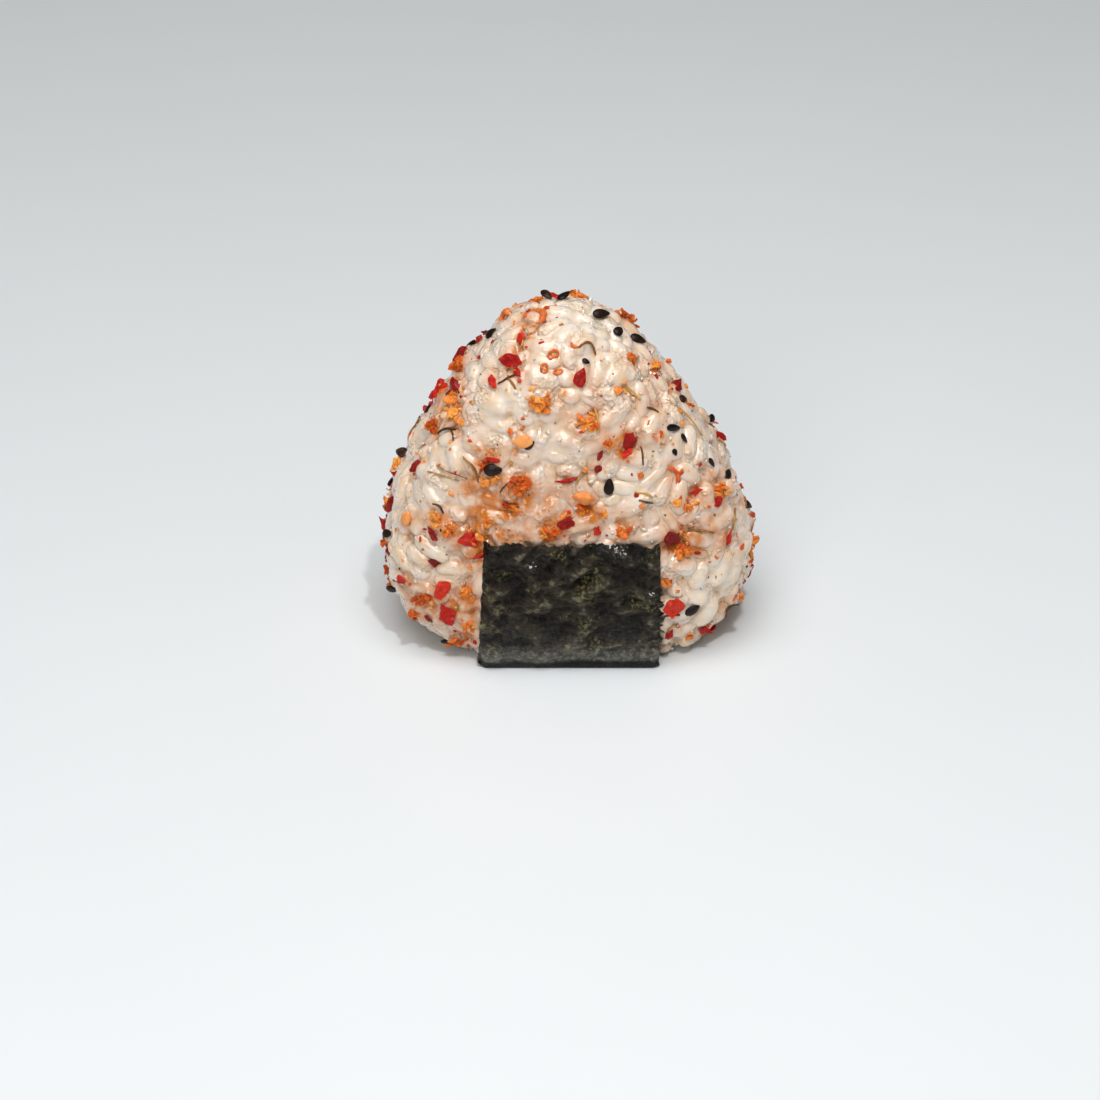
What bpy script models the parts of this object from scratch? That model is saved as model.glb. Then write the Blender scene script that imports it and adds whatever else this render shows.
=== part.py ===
"""Onigiri: a pressed ball of seasoned rice, shaped as a round-cornered triangle,
with a strip of nori that runs up its front, under its base and up its back.

Axes: +X across the triangle, +Z up, and the shown face looks towards -Y.
The origin is under the middle of the whole, on the surface it stands on.
"""

import math

import bmesh
import bpy
from mathutils import Vector, noise

MM = 0.001

# ---- driving dimensions, in millimetres and degrees -------------------------------
# The triangle is bounded by sides, each a distance and a direction from a centre
# that lies CENTRE_HEIGHT above the surface.
CENTRE_HEIGHT = 20.2
LEFT_SIDE = 35.2
LEFT_SIDE_TILT = 24.4
RIGHT_SIDE = 34.5
RIGHT_SIDE_TILT = 27.6
LOWER_CORNER = 37.1
LOWER_CORNER_TILT = -43.9
BOTTOM_SIDE = 26.8
TIP = 54.7
CORNER_SHARPNESS = 3.4

HALF_THICKNESS = 19.7
EDGE_SHARPNESS = 3.3
TIP_THINNING = 0.20
TIP_THINNING_CURVE = 1.5

GRAIN_SPACING = 5.0
GRAIN_RELIEF = 1.2
RELIEF_FADE = 3.0

NORI_WIDTH = 34.6
NORI_HEIGHT = 27.8
NORI_THICKNESS = 0.35
GAP = 0.35

# ---- mesh fineness ----------------------------------------------------------------
RICE_CUTS = 26
NORI_FACES_ACROSS = 8
NORI_FACES_UP = 16
NORI_FACES_UNDER = 6

# The base of the rice stays one gap above the nori that it sits on.
RICE_BASE_HEIGHT = NORI_THICKNESS + GAP


def clear_scene():
    """Remove every object that the scene holds."""
    for obj in list(bpy.data.objects):
        bpy.data.objects.remove(obj, do_unlink=True)


def new_collection(name):
    """Make a collection under the scene's own."""
    collection = bpy.data.collections.new(name)
    bpy.context.scene.collection.children.link(collection)
    return collection


def make_material(name, color, roughness, metallic=0.0):
    """Make a Principled material from a linear colour."""
    material = bpy.data.materials.new(name)
    material.use_nodes = True
    shader = material.node_tree.nodes["Principled BSDF"]
    shader.inputs["Base Color"].default_value = (*color, 1.0)
    shader.inputs["Roughness"].default_value = roughness
    shader.inputs["Metallic"].default_value = metallic
    material.diffuse_color = (*color, 1.0)
    return material


def add_object(name, bm, collection, material):
    """Put a bmesh into a named, smooth-shaded object."""
    mesh = bpy.data.meshes.new(name)
    bm.to_mesh(mesh)
    bm.free()
    mesh.materials.append(material)
    for polygon in mesh.polygons:
        polygon.use_smooth = True
    obj = bpy.data.objects.new(name, mesh)
    collection.objects.link(obj)
    return obj


def triangle_sides():
    """List the outline's sides as (unit x, unit z, distance from the centre)."""
    tilted = (
        (-1, LEFT_SIDE_TILT, LEFT_SIDE),
        (1, RIGHT_SIDE_TILT, RIGHT_SIDE),
        (-1, LOWER_CORNER_TILT, LOWER_CORNER),
        (1, LOWER_CORNER_TILT, LOWER_CORNER),
        (0, -90.0, BOTTOM_SIDE),
        (0, 90.0, TIP),
    )
    sides = []
    for hand, tilt, distance in tilted:
        angle = math.radians(tilt)
        sides.append((hand * math.cos(angle), math.sin(angle), distance))
    return sides


SIDES = triangle_sides()


def outline_gauge(x, z):
    """Say how far out (x, z) lies from the triangle's centre: 1 is on the outline."""
    total = 0.0
    for side_x, side_z, distance in SIDES:
        reach = max(0.0, (x * side_x + z * side_z) / distance)
        total += reach ** CORNER_SHARPNESS
    return total ** (1.0 / CORNER_SHARPNESS)


def thinning(z):
    """Give the thickness at a height over the centre, as a share of the full one."""
    share = (z + BOTTOM_SIDE) / (BOTTOM_SIDE + TIP)
    share = min(1.0, max(0.0, share))
    return 1.0 - TIP_THINNING * share ** TIP_THINNING_CURVE


def half_depth(x, height):
    """Give the rice surface's distance from the middle plane at a point of the face."""
    z = height - CENTRE_HEIGHT
    inside = max(0.0, 1.0 - outline_gauge(x, z) ** EDGE_SHARPNESS)
    return HALF_THICKNESS * thinning(z) * inside ** (1.0 / EDGE_SHARPNESS)


def surface_point(direction):
    """Find the smooth rice surface along a direction from the centre."""
    flat = outline_gauge(direction.x, direction.z)
    deep = abs(direction.y) / HALF_THICKNESS
    gauge = (flat ** EDGE_SHARPNESS + deep ** EDGE_SHARPNESS) ** (1.0 / EDGE_SHARPNESS)
    point = direction / gauge
    point.y *= thinning(point.z)
    return point


def grain_relief(point):
    """Give how far the surface dips between grains at a point, in millimetres."""
    nearest = noise.voronoi(point / GRAIN_SPACING)[0][0]
    return GRAIN_RELIEF * min(1.0, nearest / 0.7) ** 2


def relief_share(point, height):
    """Fade the relief out where the nori presses the grains flat."""
    beside = abs(point.x) - NORI_WIDTH / 2
    above = height - NORI_HEIGHT
    on_face = abs(point.y) > HALF_THICKNESS / 2
    outside = max(beside, above) if on_face else max(beside, height - RELIEF_FADE)
    return min(1.0, max(0.0, outside / RELIEF_FADE))


def build_rice(collection):
    """Model the rice as one solid out to its uneven outline, flat where it rests."""
    bm = bmesh.new()
    bmesh.ops.create_cube(bm, size=2.0)
    bmesh.ops.subdivide_edges(bm, edges=bm.edges[:], cuts=RICE_CUTS, use_grid_fill=True)
    spread = Vector((LEFT_SIDE, HALF_THICKNESS, LEFT_SIDE))
    for vert in bm.verts:
        even = Vector([math.tan(value * math.pi / 4) for value in vert.co]).normalized()
        point = surface_point(Vector([even[i] * spread[i] for i in range(3)]))
        height = point.z + CENTRE_HEIGHT
        dip = grain_relief(point) * relief_share(point, height)
        point -= point.normalized() * dip
        height = max(RICE_BASE_HEIGHT, point.z + CENTRE_HEIGHT)
        vert.co = Vector((point.x, point.y, height)) * MM
    bmesh.ops.recalc_face_normals(bm, faces=bm.faces[:])
    rice = make_material("steamed_rice", (0.80, 0.66, 0.56), 0.42)
    return add_object("rice_body", bm, collection, rice)


def nori_profile():
    """List the (y, z) points of the nori's inner face, from the front's top to the back's."""
    front = []
    for step in range(NORI_FACES_UP):
        share = step / NORI_FACES_UP
        height = NORI_HEIGHT + (RICE_BASE_HEIGHT - NORI_HEIGHT) * math.sin(share * math.pi / 2)
        front.append((-half_depth(0.0, height) - GAP, height))
    crease = half_depth(0.0, RICE_BASE_HEIGHT) + GAP
    under = []
    for step in range(NORI_FACES_UNDER + 1):
        share = step / NORI_FACES_UNDER
        under.append((crease * (2.0 * share - 1.0), NORI_THICKNESS))
    back = [(-y, z) for y, z in reversed(front)]
    return front + under + back


def build_nori(collection):
    """Model the nori as a bent sheet, straight across, thickened outwards."""
    profile = nori_profile()
    bm = bmesh.new()
    rows = []
    for y, z in profile:
        row = []
        for column in range(NORI_FACES_ACROSS + 1):
            x = NORI_WIDTH * (column / NORI_FACES_ACROSS - 0.5)
            row.append(bm.verts.new(Vector((x, y, z)) * MM))
        rows.append(row)
    for upper, lower in zip(rows, rows[1:]):
        for column in range(NORI_FACES_ACROSS):
            corners = (upper[column], lower[column], lower[column + 1], upper[column + 1])
            bm.faces.new(corners)
    nori = make_material("toasted_nori", (0.018, 0.020, 0.014), 0.55)
    obj = add_object("nori_strip", bm, collection, nori)
    shell = obj.modifiers.new("thickness", 'SOLIDIFY')
    shell.thickness = NORI_THICKNESS * MM
    shell.offset = 1.0
    shell.use_even_offset = True
    return obj


def stand_on_origin(objects):
    """Move the parts together so the middle of their base is at the origin."""
    bpy.context.view_layer.update()
    depsgraph = bpy.context.evaluated_depsgraph_get()
    corners = []
    for obj in objects:
        evaluated = obj.evaluated_get(depsgraph)
        corners += [obj.matrix_world @ vert.co for vert in evaluated.data.vertices]
    low = Vector([min(corner[i] for corner in corners) for i in range(3)])
    high = Vector([max(corner[i] for corner in corners) for i in range(3)])
    shift = Vector(((low.x + high.x) / 2, (low.y + high.y) / 2, low.z))
    for obj in objects:
        obj.location -= shift
    return high - low


def main():
    clear_scene()
    onigiri = new_collection("onigiri")
    parts = [build_rice(onigiri), build_nori(onigiri)]
    size = stand_on_origin(parts)
    print("onigiri size in mm:", [round(value / MM, 2) for value in size])


main()
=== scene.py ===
"""Onigiri: a pressed ball of seasoned rice grains with a strip of nori folded under it."""
import math
from collections import namedtuple

import bmesh
import bpy
import numpy as np
from bpy.props import FloatProperty, FloatVectorProperty, IntProperty, PointerProperty
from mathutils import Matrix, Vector, noise
from mathutils.bvhtree import BVHTree


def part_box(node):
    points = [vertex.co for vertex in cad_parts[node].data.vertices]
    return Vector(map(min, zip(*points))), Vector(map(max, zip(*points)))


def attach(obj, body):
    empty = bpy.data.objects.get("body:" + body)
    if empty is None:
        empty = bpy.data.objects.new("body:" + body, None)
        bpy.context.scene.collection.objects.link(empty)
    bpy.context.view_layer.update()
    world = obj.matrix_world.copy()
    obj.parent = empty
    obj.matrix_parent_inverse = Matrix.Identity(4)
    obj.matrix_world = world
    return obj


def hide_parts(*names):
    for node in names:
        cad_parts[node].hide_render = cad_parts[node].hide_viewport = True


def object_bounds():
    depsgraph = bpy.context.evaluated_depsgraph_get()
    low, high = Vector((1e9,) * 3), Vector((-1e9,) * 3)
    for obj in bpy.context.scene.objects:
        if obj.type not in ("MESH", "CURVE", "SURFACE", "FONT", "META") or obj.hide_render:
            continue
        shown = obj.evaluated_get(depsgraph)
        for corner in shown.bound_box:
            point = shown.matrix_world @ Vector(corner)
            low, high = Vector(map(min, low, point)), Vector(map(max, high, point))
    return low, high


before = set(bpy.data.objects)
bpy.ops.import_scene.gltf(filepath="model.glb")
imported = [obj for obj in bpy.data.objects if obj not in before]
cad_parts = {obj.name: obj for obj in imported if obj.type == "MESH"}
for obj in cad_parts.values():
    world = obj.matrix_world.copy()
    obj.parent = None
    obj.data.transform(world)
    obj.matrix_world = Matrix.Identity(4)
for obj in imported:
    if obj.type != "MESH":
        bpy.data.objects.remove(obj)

bl_info = {
    "name": "Onigiri",
    "version": (1, 0, 0),
    "blender": (4, 5, 0),
    "location": "View3D > Sidebar > Onigiri",
    "description": "Grains, nori and seasoning of a rice ball, built round its packed solids",
    "category": "Add Mesh",
}

MM = 0.001
CAD_LOW, CAD_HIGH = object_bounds()
WIDTH = (CAD_HIGH.x - CAD_LOW.x) / MM
HEIGHT = CAD_HIGH.z / MM
NORI_LOW, NORI_HIGH = (np.array(corner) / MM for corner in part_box("nori_strip"))


# ---- colours and nodes -------------------------------------------------------------

def linear(code):
    """Turn an sRGB hex colour into linear red, green and blue."""
    parts = [int(code[i:i + 2], 16) / 255 for i in (0, 2, 4)]
    return tuple(c / 12.92 if c <= 0.04045 else ((c + 0.055) / 1.055) ** 2.4 for c in parts)


def rgba(code):
    """Turn an sRGB hex colour into the four values that a node's colour socket takes."""
    return (*linear(code), 1.0)


def per_metre(size_mm):
    """Give the texture scale whose lumps are size_mm across in object space."""
    return 1.0 / (size_mm * MM)


def new_material(name):
    """Make a material; give it, its tree, its shader and the object-space place."""
    material = bpy.data.materials.new(name)
    material.use_nodes = True
    tree = material.node_tree
    place = node(tree, "ShaderNodeTexCoord", give="Object")
    return material, tree, tree.nodes["Principled BSDF"], place


def fill(tree, target, **sockets):
    """Set or link a node's sockets, each named by its identifier or by its label."""
    for key, value in sockets.items():
        label = key.replace("_", " ")
        socket = next(s for s in target.inputs if key == s.identifier or label == s.name)
        if isinstance(value, bpy.types.NodeSocket):
            tree.links.new(value, socket)
        else:
            socket.default_value = value


def node(tree, kind, settings=None, give=None, stops=(), **sockets):
    """Add a node with its settings, colour stops and links; give the output that is used."""
    added = tree.nodes.new(kind)
    for key, value in (settings or {}).items():
        setattr(added, key, value)
    for number, (place, code) in enumerate(stops):
        elements = added.color_ramp.elements
        element = elements[number] if number < 2 else elements.new(place)
        element.position = place
        element.color = rgba(code)
    fill(tree, added, **sockets)
    shown = [socket for socket in added.outputs if socket.enabled]
    return next((socket for socket in shown if socket.name == give), shown[0])


COLOUR_MIX = {"data_type": 'RGBA'}
MULTIPLY = {"operation": 'MULTIPLY'}
MULTIPLY_ADD = {"operation": 'MULTIPLY_ADD', "use_clamp": True}


# ---- materials ---------------------------------------------------------------------

def rice_material(name, settings):
    """Steamed short-grain rice: swollen starch, milky and moist.

    The eye sees soft depth in each grain, peach in the creases where the seasoning's oil
    has soaked in and painted shade darkens them, and small wet glints.
    """
    material, tree, shader, place = new_material(name)
    tone = node(tree, "ShaderNodeAttribute", {"attribute_name": "tone"}, "Fac")
    stain = node(tree, "ShaderNodeAttribute", {"attribute_name": "stain"}, "Fac")
    crease = node(tree, "ShaderNodeAttribute", {"attribute_name": "crease"}, "Fac")
    clear = (*settings.clear_color, 1.0)
    milky = (*settings.milky_color, 1.0)
    crease_shade_colour = (*settings.crease_shade_color, 1.0)
    oil = (*settings.oil_color, 1.0)
    cloud = node(tree, "ShaderNodeTexNoise", Vector=place, Scale=per_metre(2.4), Detail=2.0)
    cloud = node(tree, "ShaderNodeMapRange", Value=cloud, From_Min=0.35, From_Max=0.65)
    body = node(tree, "ShaderNodeMix", COLOUR_MIX, Factor_Float=cloud, A_Color=clear,
                B_Color=milky)
    whiter = node(tree, "ShaderNodeMath", MULTIPLY, Value=tone, Value_001=0.5)
    body = node(tree, "ShaderNodeMix", COLOUR_MIX, Factor_Float=whiter, A_Color=body,
                B_Color=milky)
    # Painted shade: the deeper a place lies below the crowns, the more it takes the darker peach
    # crease colour, partly the starch's own warmth and partly the shade in the gaps.
    crease_shade = node(tree, "ShaderNodeMath", MULTIPLY, Value=crease, Value_001=0.75)
    body = node(tree, "ShaderNodeMix", COLOUR_MIX, Factor_Float=crease_shade, A_Color=body,
                B_Color=crease_shade_colour)
    # Oil keeps to the creases: crowns take about half of what the gaps take.
    patch = node(tree, "ShaderNodeTexNoise", Vector=place, Scale=per_metre(3.0), Detail=3.0,
                 Roughness=0.55)
    patch = node(tree, "ShaderNodeMapRange", Value=patch, From_Min=0.38, From_Max=0.62,
                 To_Min=0.45, To_Max=1.5)
    hold = node(tree, "ShaderNodeMath", MULTIPLY_ADD, Value=crease, Value_001=0.45,
                Value_002=0.60)
    soaked = node(tree, "ShaderNodeMath", MULTIPLY, Value=stain, Value_001=hold)
    soaked = node(tree, "ShaderNodeMath", {**MULTIPLY, "use_clamp": True}, Value=soaked,
                  Value_001=patch)
    body = node(tree, "ShaderNodeMix", {**COLOUR_MIX, "blend_type": 'MULTIPLY'},
                Factor_Float=soaked, A_Color=body, B_Color=oil)
    wet = node(tree, "ShaderNodeTexNoise", Vector=place, Scale=per_metre(1.2), Detail=2.0)
    gloss = node(tree, "ShaderNodeMapRange", Value=wet, From_Min=0.35, From_Max=0.65,
                 To_Min=0.10, To_Max=0.27)
    # Broken starch: patches of fine facets, some of them a glint, between smooth stretches.
    where = node(tree, "ShaderNodeTexNoise", Vector=place, Scale=per_metre(5.0), Detail=1.0)
    where = node(tree, "ShaderNodeMapRange", Value=where, From_Min=0.50, From_Max=0.64,
                 To_Min=0.03, To_Max=1.0)
    facets = node(tree, "ShaderNodeTexVoronoi", give="Distance", Vector=place,
                  Scale=per_metre(0.8))
    relief = node(tree, "ShaderNodeMath", MULTIPLY, Value=facets, Value_001=where)
    relief = node(tree, "ShaderNodeBump", Height=relief, Distance=0.50 * MM, Strength=1.0)
    fill(tree, shader, Base_Color=body, Roughness=gloss, Normal=relief, IOR=1.42,
         Subsurface_Weight=0.85, Subsurface_Radius=(1.0, 0.93, 0.86),
         Subsurface_Scale=0.28 * MM, Coat_Weight=1.0, Coat_Roughness=0.03, Coat_IOR=1.5,
         Specular_IOR_Level=0.45)
    return material


def nori_material():
    """Toasted pressed seaweed: overlapping fronds dried into one thin sheet.

    The eye sees near-black olive with paler speckled fronds, a dull sheen on the crinkles
    that is partly painted as paler crests and darker dents, grey where the fold has cracked it
    and partly painted sheen over the lower part, a painted shadow of near black under the
    fold's lip, and gloss where the rice has wetted it.
    """
    material, tree, shader, place = new_material("toasted_pressed_seaweed")
    wet = node(tree, "ShaderNodeAttribute", {"attribute_name": "wet"}, "Fac")
    under = node(tree, "ShaderNodeAttribute", {"attribute_name": "under"}, "Fac")
    worn = node(tree, "ShaderNodeAttribute", {"attribute_name": "worn"}, "Fac")
    ridge = node(tree, "ShaderNodeAttribute", {"attribute_name": "ridge"}, "Fac")
    fronds = node(tree, "ShaderNodeTexNoise", Vector=place, Scale=per_metre(5.0), Detail=6.0,
                  Roughness=0.68, Distortion=0.7)
    # Fine wrinkles run aslant. Painted highlight and shade: what stands up on the lumps and
    #     # wrinkles is painted paler and what lies in the dents darker, for how the light falls on
    #     them.
    aslant = node(tree, "ShaderNodeMapping", Vector=place,
                  Rotation=(0.0, math.radians(28), 0.0), Scale=(1.0, 1.0, 2.2))
    wrinkles = node(tree, "ShaderNodeTexNoise", Vector=aslant, Scale=per_metre(2.2),
                    Detail=5.0, Roughness=0.62)
    shade = node(tree, "ShaderNodeMath", MULTIPLY, Value=ridge, Value_001=0.22)
    shade = node(tree, "ShaderNodeMath", MULTIPLY_ADD, Value=fronds, Value_001=0.45,
                 Value_002=shade)
    shade = node(tree, "ShaderNodeMath", MULTIPLY_ADD, Value=wrinkles, Value_001=0.62,
                 Value_002=shade)
    colour = node(tree, "ShaderNodeValToRGB", Fac=shade, stops=(
        (0.50, "0A0603"), (0.88, "857E6A"), (0.63, "1F170F"), (0.75, "3A3224")))
    # Thin spots let the green of the fronds through, in clusters of fine speckle.
    cluster = node(tree, "ShaderNodeTexNoise", Vector=place, Scale=per_metre(6.5), Detail=1.0)
    cluster = node(tree, "ShaderNodeMapRange", Value=cluster, From_Min=0.54, From_Max=0.64)
    speckle = node(tree, "ShaderNodeTexNoise", Vector=place, Scale=per_metre(0.75), Detail=4.0,
                   Roughness=0.7)
    speckle = node(tree, "ShaderNodeMapRange", Value=speckle, From_Min=0.50, From_Max=0.68)
    thin = node(tree, "ShaderNodeMath", MULTIPLY, Value=cluster, Value_001=speckle)
    colour = node(tree, "ShaderNodeMix", COLOUR_MIX, Factor_Float=thin, A_Color=colour,
                  B_Color=rgba("8C8654"))
    # Paler grey near the fold and over the lower part: partly real dust and cracking at the fold,
    # partly painted sheen where the lower part catches the light.
    dust_and_sheen = node(tree, "ShaderNodeMath", MULTIPLY, Value=worn, Value_001=speckle)
    dust_and_sheen = node(tree, "ShaderNodeMath", MULTIPLY_ADD, Value=worn, Value_001=0.35, Value_002=dust_and_sheen)
    colour = node(tree, "ShaderNodeMix", COLOUR_MIX, Factor_Float=dust_and_sheen, A_Color=colour,
                  B_Color=rgba("85847B"))
    # Painted shadow: the sheet below the fold's lip is painted near black for the shadow under the
    # lip.
    colour = node(tree, "ShaderNodeMix", COLOUR_MIX, Factor_Float=under, A_Color=colour,
                  B_Color=rgba("060504"))
    dry = node(tree, "ShaderNodeMapRange", Value=fronds, From_Min=0.35, From_Max=0.65,
               To_Min=0.24, To_Max=0.42)
    rough = node(tree, "ShaderNodeMath", {**MULTIPLY_ADD}, Value=wet, Value_001=-0.20,
                 Value_002=dry)
    sharper = node(tree, "ShaderNodeMath", MULTIPLY_ADD, Value=wet, Value_001=1.3,
                   Value_002=0.55)
    wrinkles = node(tree, "ShaderNodeMath", MULTIPLY, Value=wrinkles, Value_001=sharper)
    relief = node(tree, "ShaderNodeBump", Height=wrinkles, Distance=4.0 * MM, Strength=1.0)
    fill(tree, shader, Base_Color=colour, Roughness=rough, Normal=relief, IOR=1.5,
         Specular_IOR_Level=0.28, Coat_Weight=wet, Coat_Roughness=0.06, Coat_Normal=relief)
    return material


def sesame_material():
    """Whole black sesame: a thin hull, semi-gloss, brown and grey where it has rubbed."""
    material, tree, shader, place = new_material("black_sesame_hull")
    tone = node(tree, "ShaderNodeAttribute", {"attribute_name": "tone"}, "Fac")
    worn = node(tree, "ShaderNodeTexNoise", Vector=place, Scale=per_metre(1.2), Detail=4.0)
    worn = node(tree, "ShaderNodeMath", {"operation": 'ADD'}, Value=worn, Value_001=tone)
    colour = node(tree, "ShaderNodeValToRGB", Fac=worn, stops=(
        (0.55, "140A06"), (1.0, "583A2A"), (0.8, "2A170F")))
    ribs = node(tree, "ShaderNodeTexNoise", Vector=place, Scale=per_metre(0.35), Detail=2.0)
    relief = node(tree, "ShaderNodeBump", Height=ribs, Distance=0.06 * MM)
    fill(tree, shader, Base_Color=colour, Roughness=0.42, Normal=relief, IOR=1.5,
         Specular_IOR_Level=0.18, Coat_Weight=0.08, Coat_Roughness=0.12)
    return material


def dried_material(name, low, middle, high, rough, radius, lump_mm):
    """Dried seasoning: porous and brittle, deep colour with light in its thin edges.

    Each crumb leans to one of three colours and is mottled with the others.
    """
    material, tree, shader, place = new_material(name)
    tone = node(tree, "ShaderNodeAttribute", {"attribute_name": "tone"}, "Fac")
    mottle = node(tree, "ShaderNodeTexNoise", Vector=place, Scale=per_metre(lump_mm),
                  Detail=4.0, Roughness=0.6)
    mottle = node(tree, "ShaderNodeMapRange", Value=mottle, From_Min=0.30, From_Max=0.70,
                  To_Min=-0.25, To_Max=0.25)
    lean = node(tree, "ShaderNodeMath", {"operation": 'ADD', "use_clamp": True}, Value=tone,
                Value_001=mottle)
    colour = node(tree, "ShaderNodeValToRGB", Fac=lean, stops=(
        (0.1, low), (0.9, high), (0.5, middle)))
    grain = node(tree, "ShaderNodeTexNoise", Vector=place, Scale=per_metre(lump_mm / 3),
                 Detail=3.0)
    relief = node(tree, "ShaderNodeBump", Height=grain, Distance=0.12 * MM)
    fill(tree, shader, Base_Color=colour, Roughness=rough, Normal=relief, IOR=1.47,
         Specular_IOR_Level=0.3, Subsurface_Weight=0.35, Subsurface_Radius=radius,
         Subsurface_Scale=0.5 * MM)
    return material


def floor_material(settings):
    """Glazed white porcelain: smooth, nearly even, with a broad dull reflection."""
    material, tree, shader, place = new_material("white_porcelain_glaze")
    cloud = node(tree, "ShaderNodeTexNoise", Vector=place, Scale=per_metre(60.0), Detail=2.0)
    tint = (*settings.floor_color, 1.0)
    darker = (*(0.97 * c for c in settings.floor_color), 1.0)
    colour = node(tree, "ShaderNodeMix", COLOUR_MIX, Factor_Float=cloud, A_Color=tint,
                  B_Color=darker)
    fill(tree, shader, Base_Color=colour, Roughness=0.5, IOR=1.45)
    return material


# How high the rice's underside lies over the table, in millimetres: on the nori.
BASE = 0.3


# ---- mesh helpers ------------------------------------------------------------------

def unit(vectors):
    """Scale vectors to length one."""
    length = np.linalg.norm(vectors, axis=-1, keepdims=True)
    return vectors / np.maximum(length, 1e-9)


def lumpy(points, size, seed=0.0):
    """Give a smooth random value for each point, from lumps of the given size."""
    return np.array([noise.noise(Vector(point) / size + Vector((seed, -seed, seed)))
                     for point in points])


def ball_template(cuts):
    """Give the points and four-sided faces of a cube blown up into a ball."""
    bm = bmesh.new()
    bmesh.ops.create_cube(bm, size=2.0)
    bmesh.ops.subdivide_edges(bm, edges=bm.edges[:], cuts=cuts, use_grid_fill=True)
    points = np.array([vert.co for vert in bm.verts])
    faces = np.array([[vert.index for vert in face.verts] for face in bm.faces])
    bm.free()
    return unit(np.tan(points * math.pi / 4)), faces


def tube(path, radii, sides, closed=False):
    """Sweep a round section along a path; give its points and faces."""
    path = np.asarray(path, dtype=float)
    count = len(path)
    if closed:
        slope = unit(np.roll(path, -1, 0) - np.roll(path, 1, 0))
    else:
        slope = unit(np.gradient(path, axis=0))
    lift = np.array((0.0, 0.0, 1.0))
    side = unit(np.cross(slope, lift) + 1e-6)
    over = np.cross(side, slope)
    turns = np.arange(sides) * 2 * math.pi / sides
    ring = (np.cos(turns)[None, :, None] * side[:, None] + np.sin(turns)[None, :, None]
            * over[:, None])
    points = (path[:, None] + ring * np.asarray(radii)[:, None, None]).reshape(-1, 3)
    faces = []
    for step in range(count if closed else count - 1):
        here, after = step * sides, (step + 1) % count * sides
        for turn in range(sides):
            ahead = (turn + 1) % sides
            faces.append((here + turn, here + ahead, after + ahead, after + turn))
    if not closed:
        faces.append(tuple(range(sides))[::-1])
        faces.append(tuple(range((count - 1) * sides, count * sides)))
    return points, faces


class Heap:
    """Collects small meshes, in millimetres, and their values, to be joined into one piece."""

    def __init__(self):
        self.points = []
        self.faces = []
        self.tones = []
        self.size = 0

    def add(self, points, faces, tone=0.0):
        points = np.asarray(points)
        if points[:, 2].max() < BASE + 0.2:
            return
        self.points.append(points)
        self.faces += [tuple(int(i) + self.size for i in face) for face in faces]
        self.tones.append(np.broadcast_to(tone, len(points)))
        self.size += len(points)

    def arrays(self):
        return np.concatenate(self.points), self.faces

    def piece(self, name, material, slot, smooth=True):
        """Make the piece."""
        points, faces = self.arrays()
        return add_piece(name, points, faces, material,
                         {"tone": np.concatenate(self.tones)}, smooth=smooth)


def add_piece(name, points, faces, material, values=None, replaces=(), smooth=True,
              base=BASE):
    """Make a piece from points in millimetres, with values that its material reads."""
    # What would reach below the base is pressed flat by the nori it rests on.
    points = np.maximum(points, (-np.inf, -np.inf, base))
    mesh = bpy.data.meshes.new(name)
    mesh.from_pydata((points * MM).tolist(), [], [list(map(int, f)) for f in faces])
    mesh.materials.append(material)
    mesh.polygons.foreach_set("use_smooth", [smooth] * len(mesh.polygons))
    for key, data in (values or {}).items():
        layer = mesh.attributes.new(key, 'FLOAT', 'POINT')
        layer.data.foreach_set("value", np.asarray(data, dtype=np.float32).ravel())
    mesh.update()
    piece = bpy.data.objects.new(name, mesh)
    bpy.context.scene.collection.objects.link(piece)
    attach(piece, "root")
    if replaces:
        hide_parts(*replaces)
    return piece


def working_object(name, points, faces):
    """Make an object to work on, from points in millimetres."""
    mesh = bpy.data.meshes.new(name)
    mesh.from_pydata((np.asarray(points) * MM).tolist(), [], faces)
    mesh.update()
    obj = bpy.data.objects.new(name, mesh)
    bpy.context.scene.collection.objects.link(obj)
    return obj


def points_of(obj):
    """Give a working object's points in millimetres."""
    points = np.empty(len(obj.data.vertices) * 3)
    obj.data.vertices.foreach_get("co", points)
    return points.reshape(-1, 3) / MM


def push_out(obj, distances):
    """Move each point of a working object along its normal, by millimetres."""
    mesh = obj.data
    normals = np.empty(len(mesh.vertices) * 3)
    mesh.vertices.foreach_get("normal", normals)
    moved = points_of(obj) + normals.reshape(-1, 3) * np.broadcast_to(
        distances, len(mesh.vertices))[:, None]
    mesh.vertices.foreach_set("co", (moved * MM).ravel())
    mesh.update()


def melt(obj, voxel):
    """Melt a working object's overlapping meshes into one skin."""
    change = obj.modifiers.new("melt", 'REMESH')
    change.mode = 'VOXEL'
    change.voxel_size = voxel * MM
    depsgraph = bpy.context.evaluated_depsgraph_get()
    melted = bpy.data.meshes.new_from_object(obj.evaluated_get(depsgraph))
    obj.modifiers.clear()
    obj.data = melted


# ---- the rice's own space ----------------------------------------------------------

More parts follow.
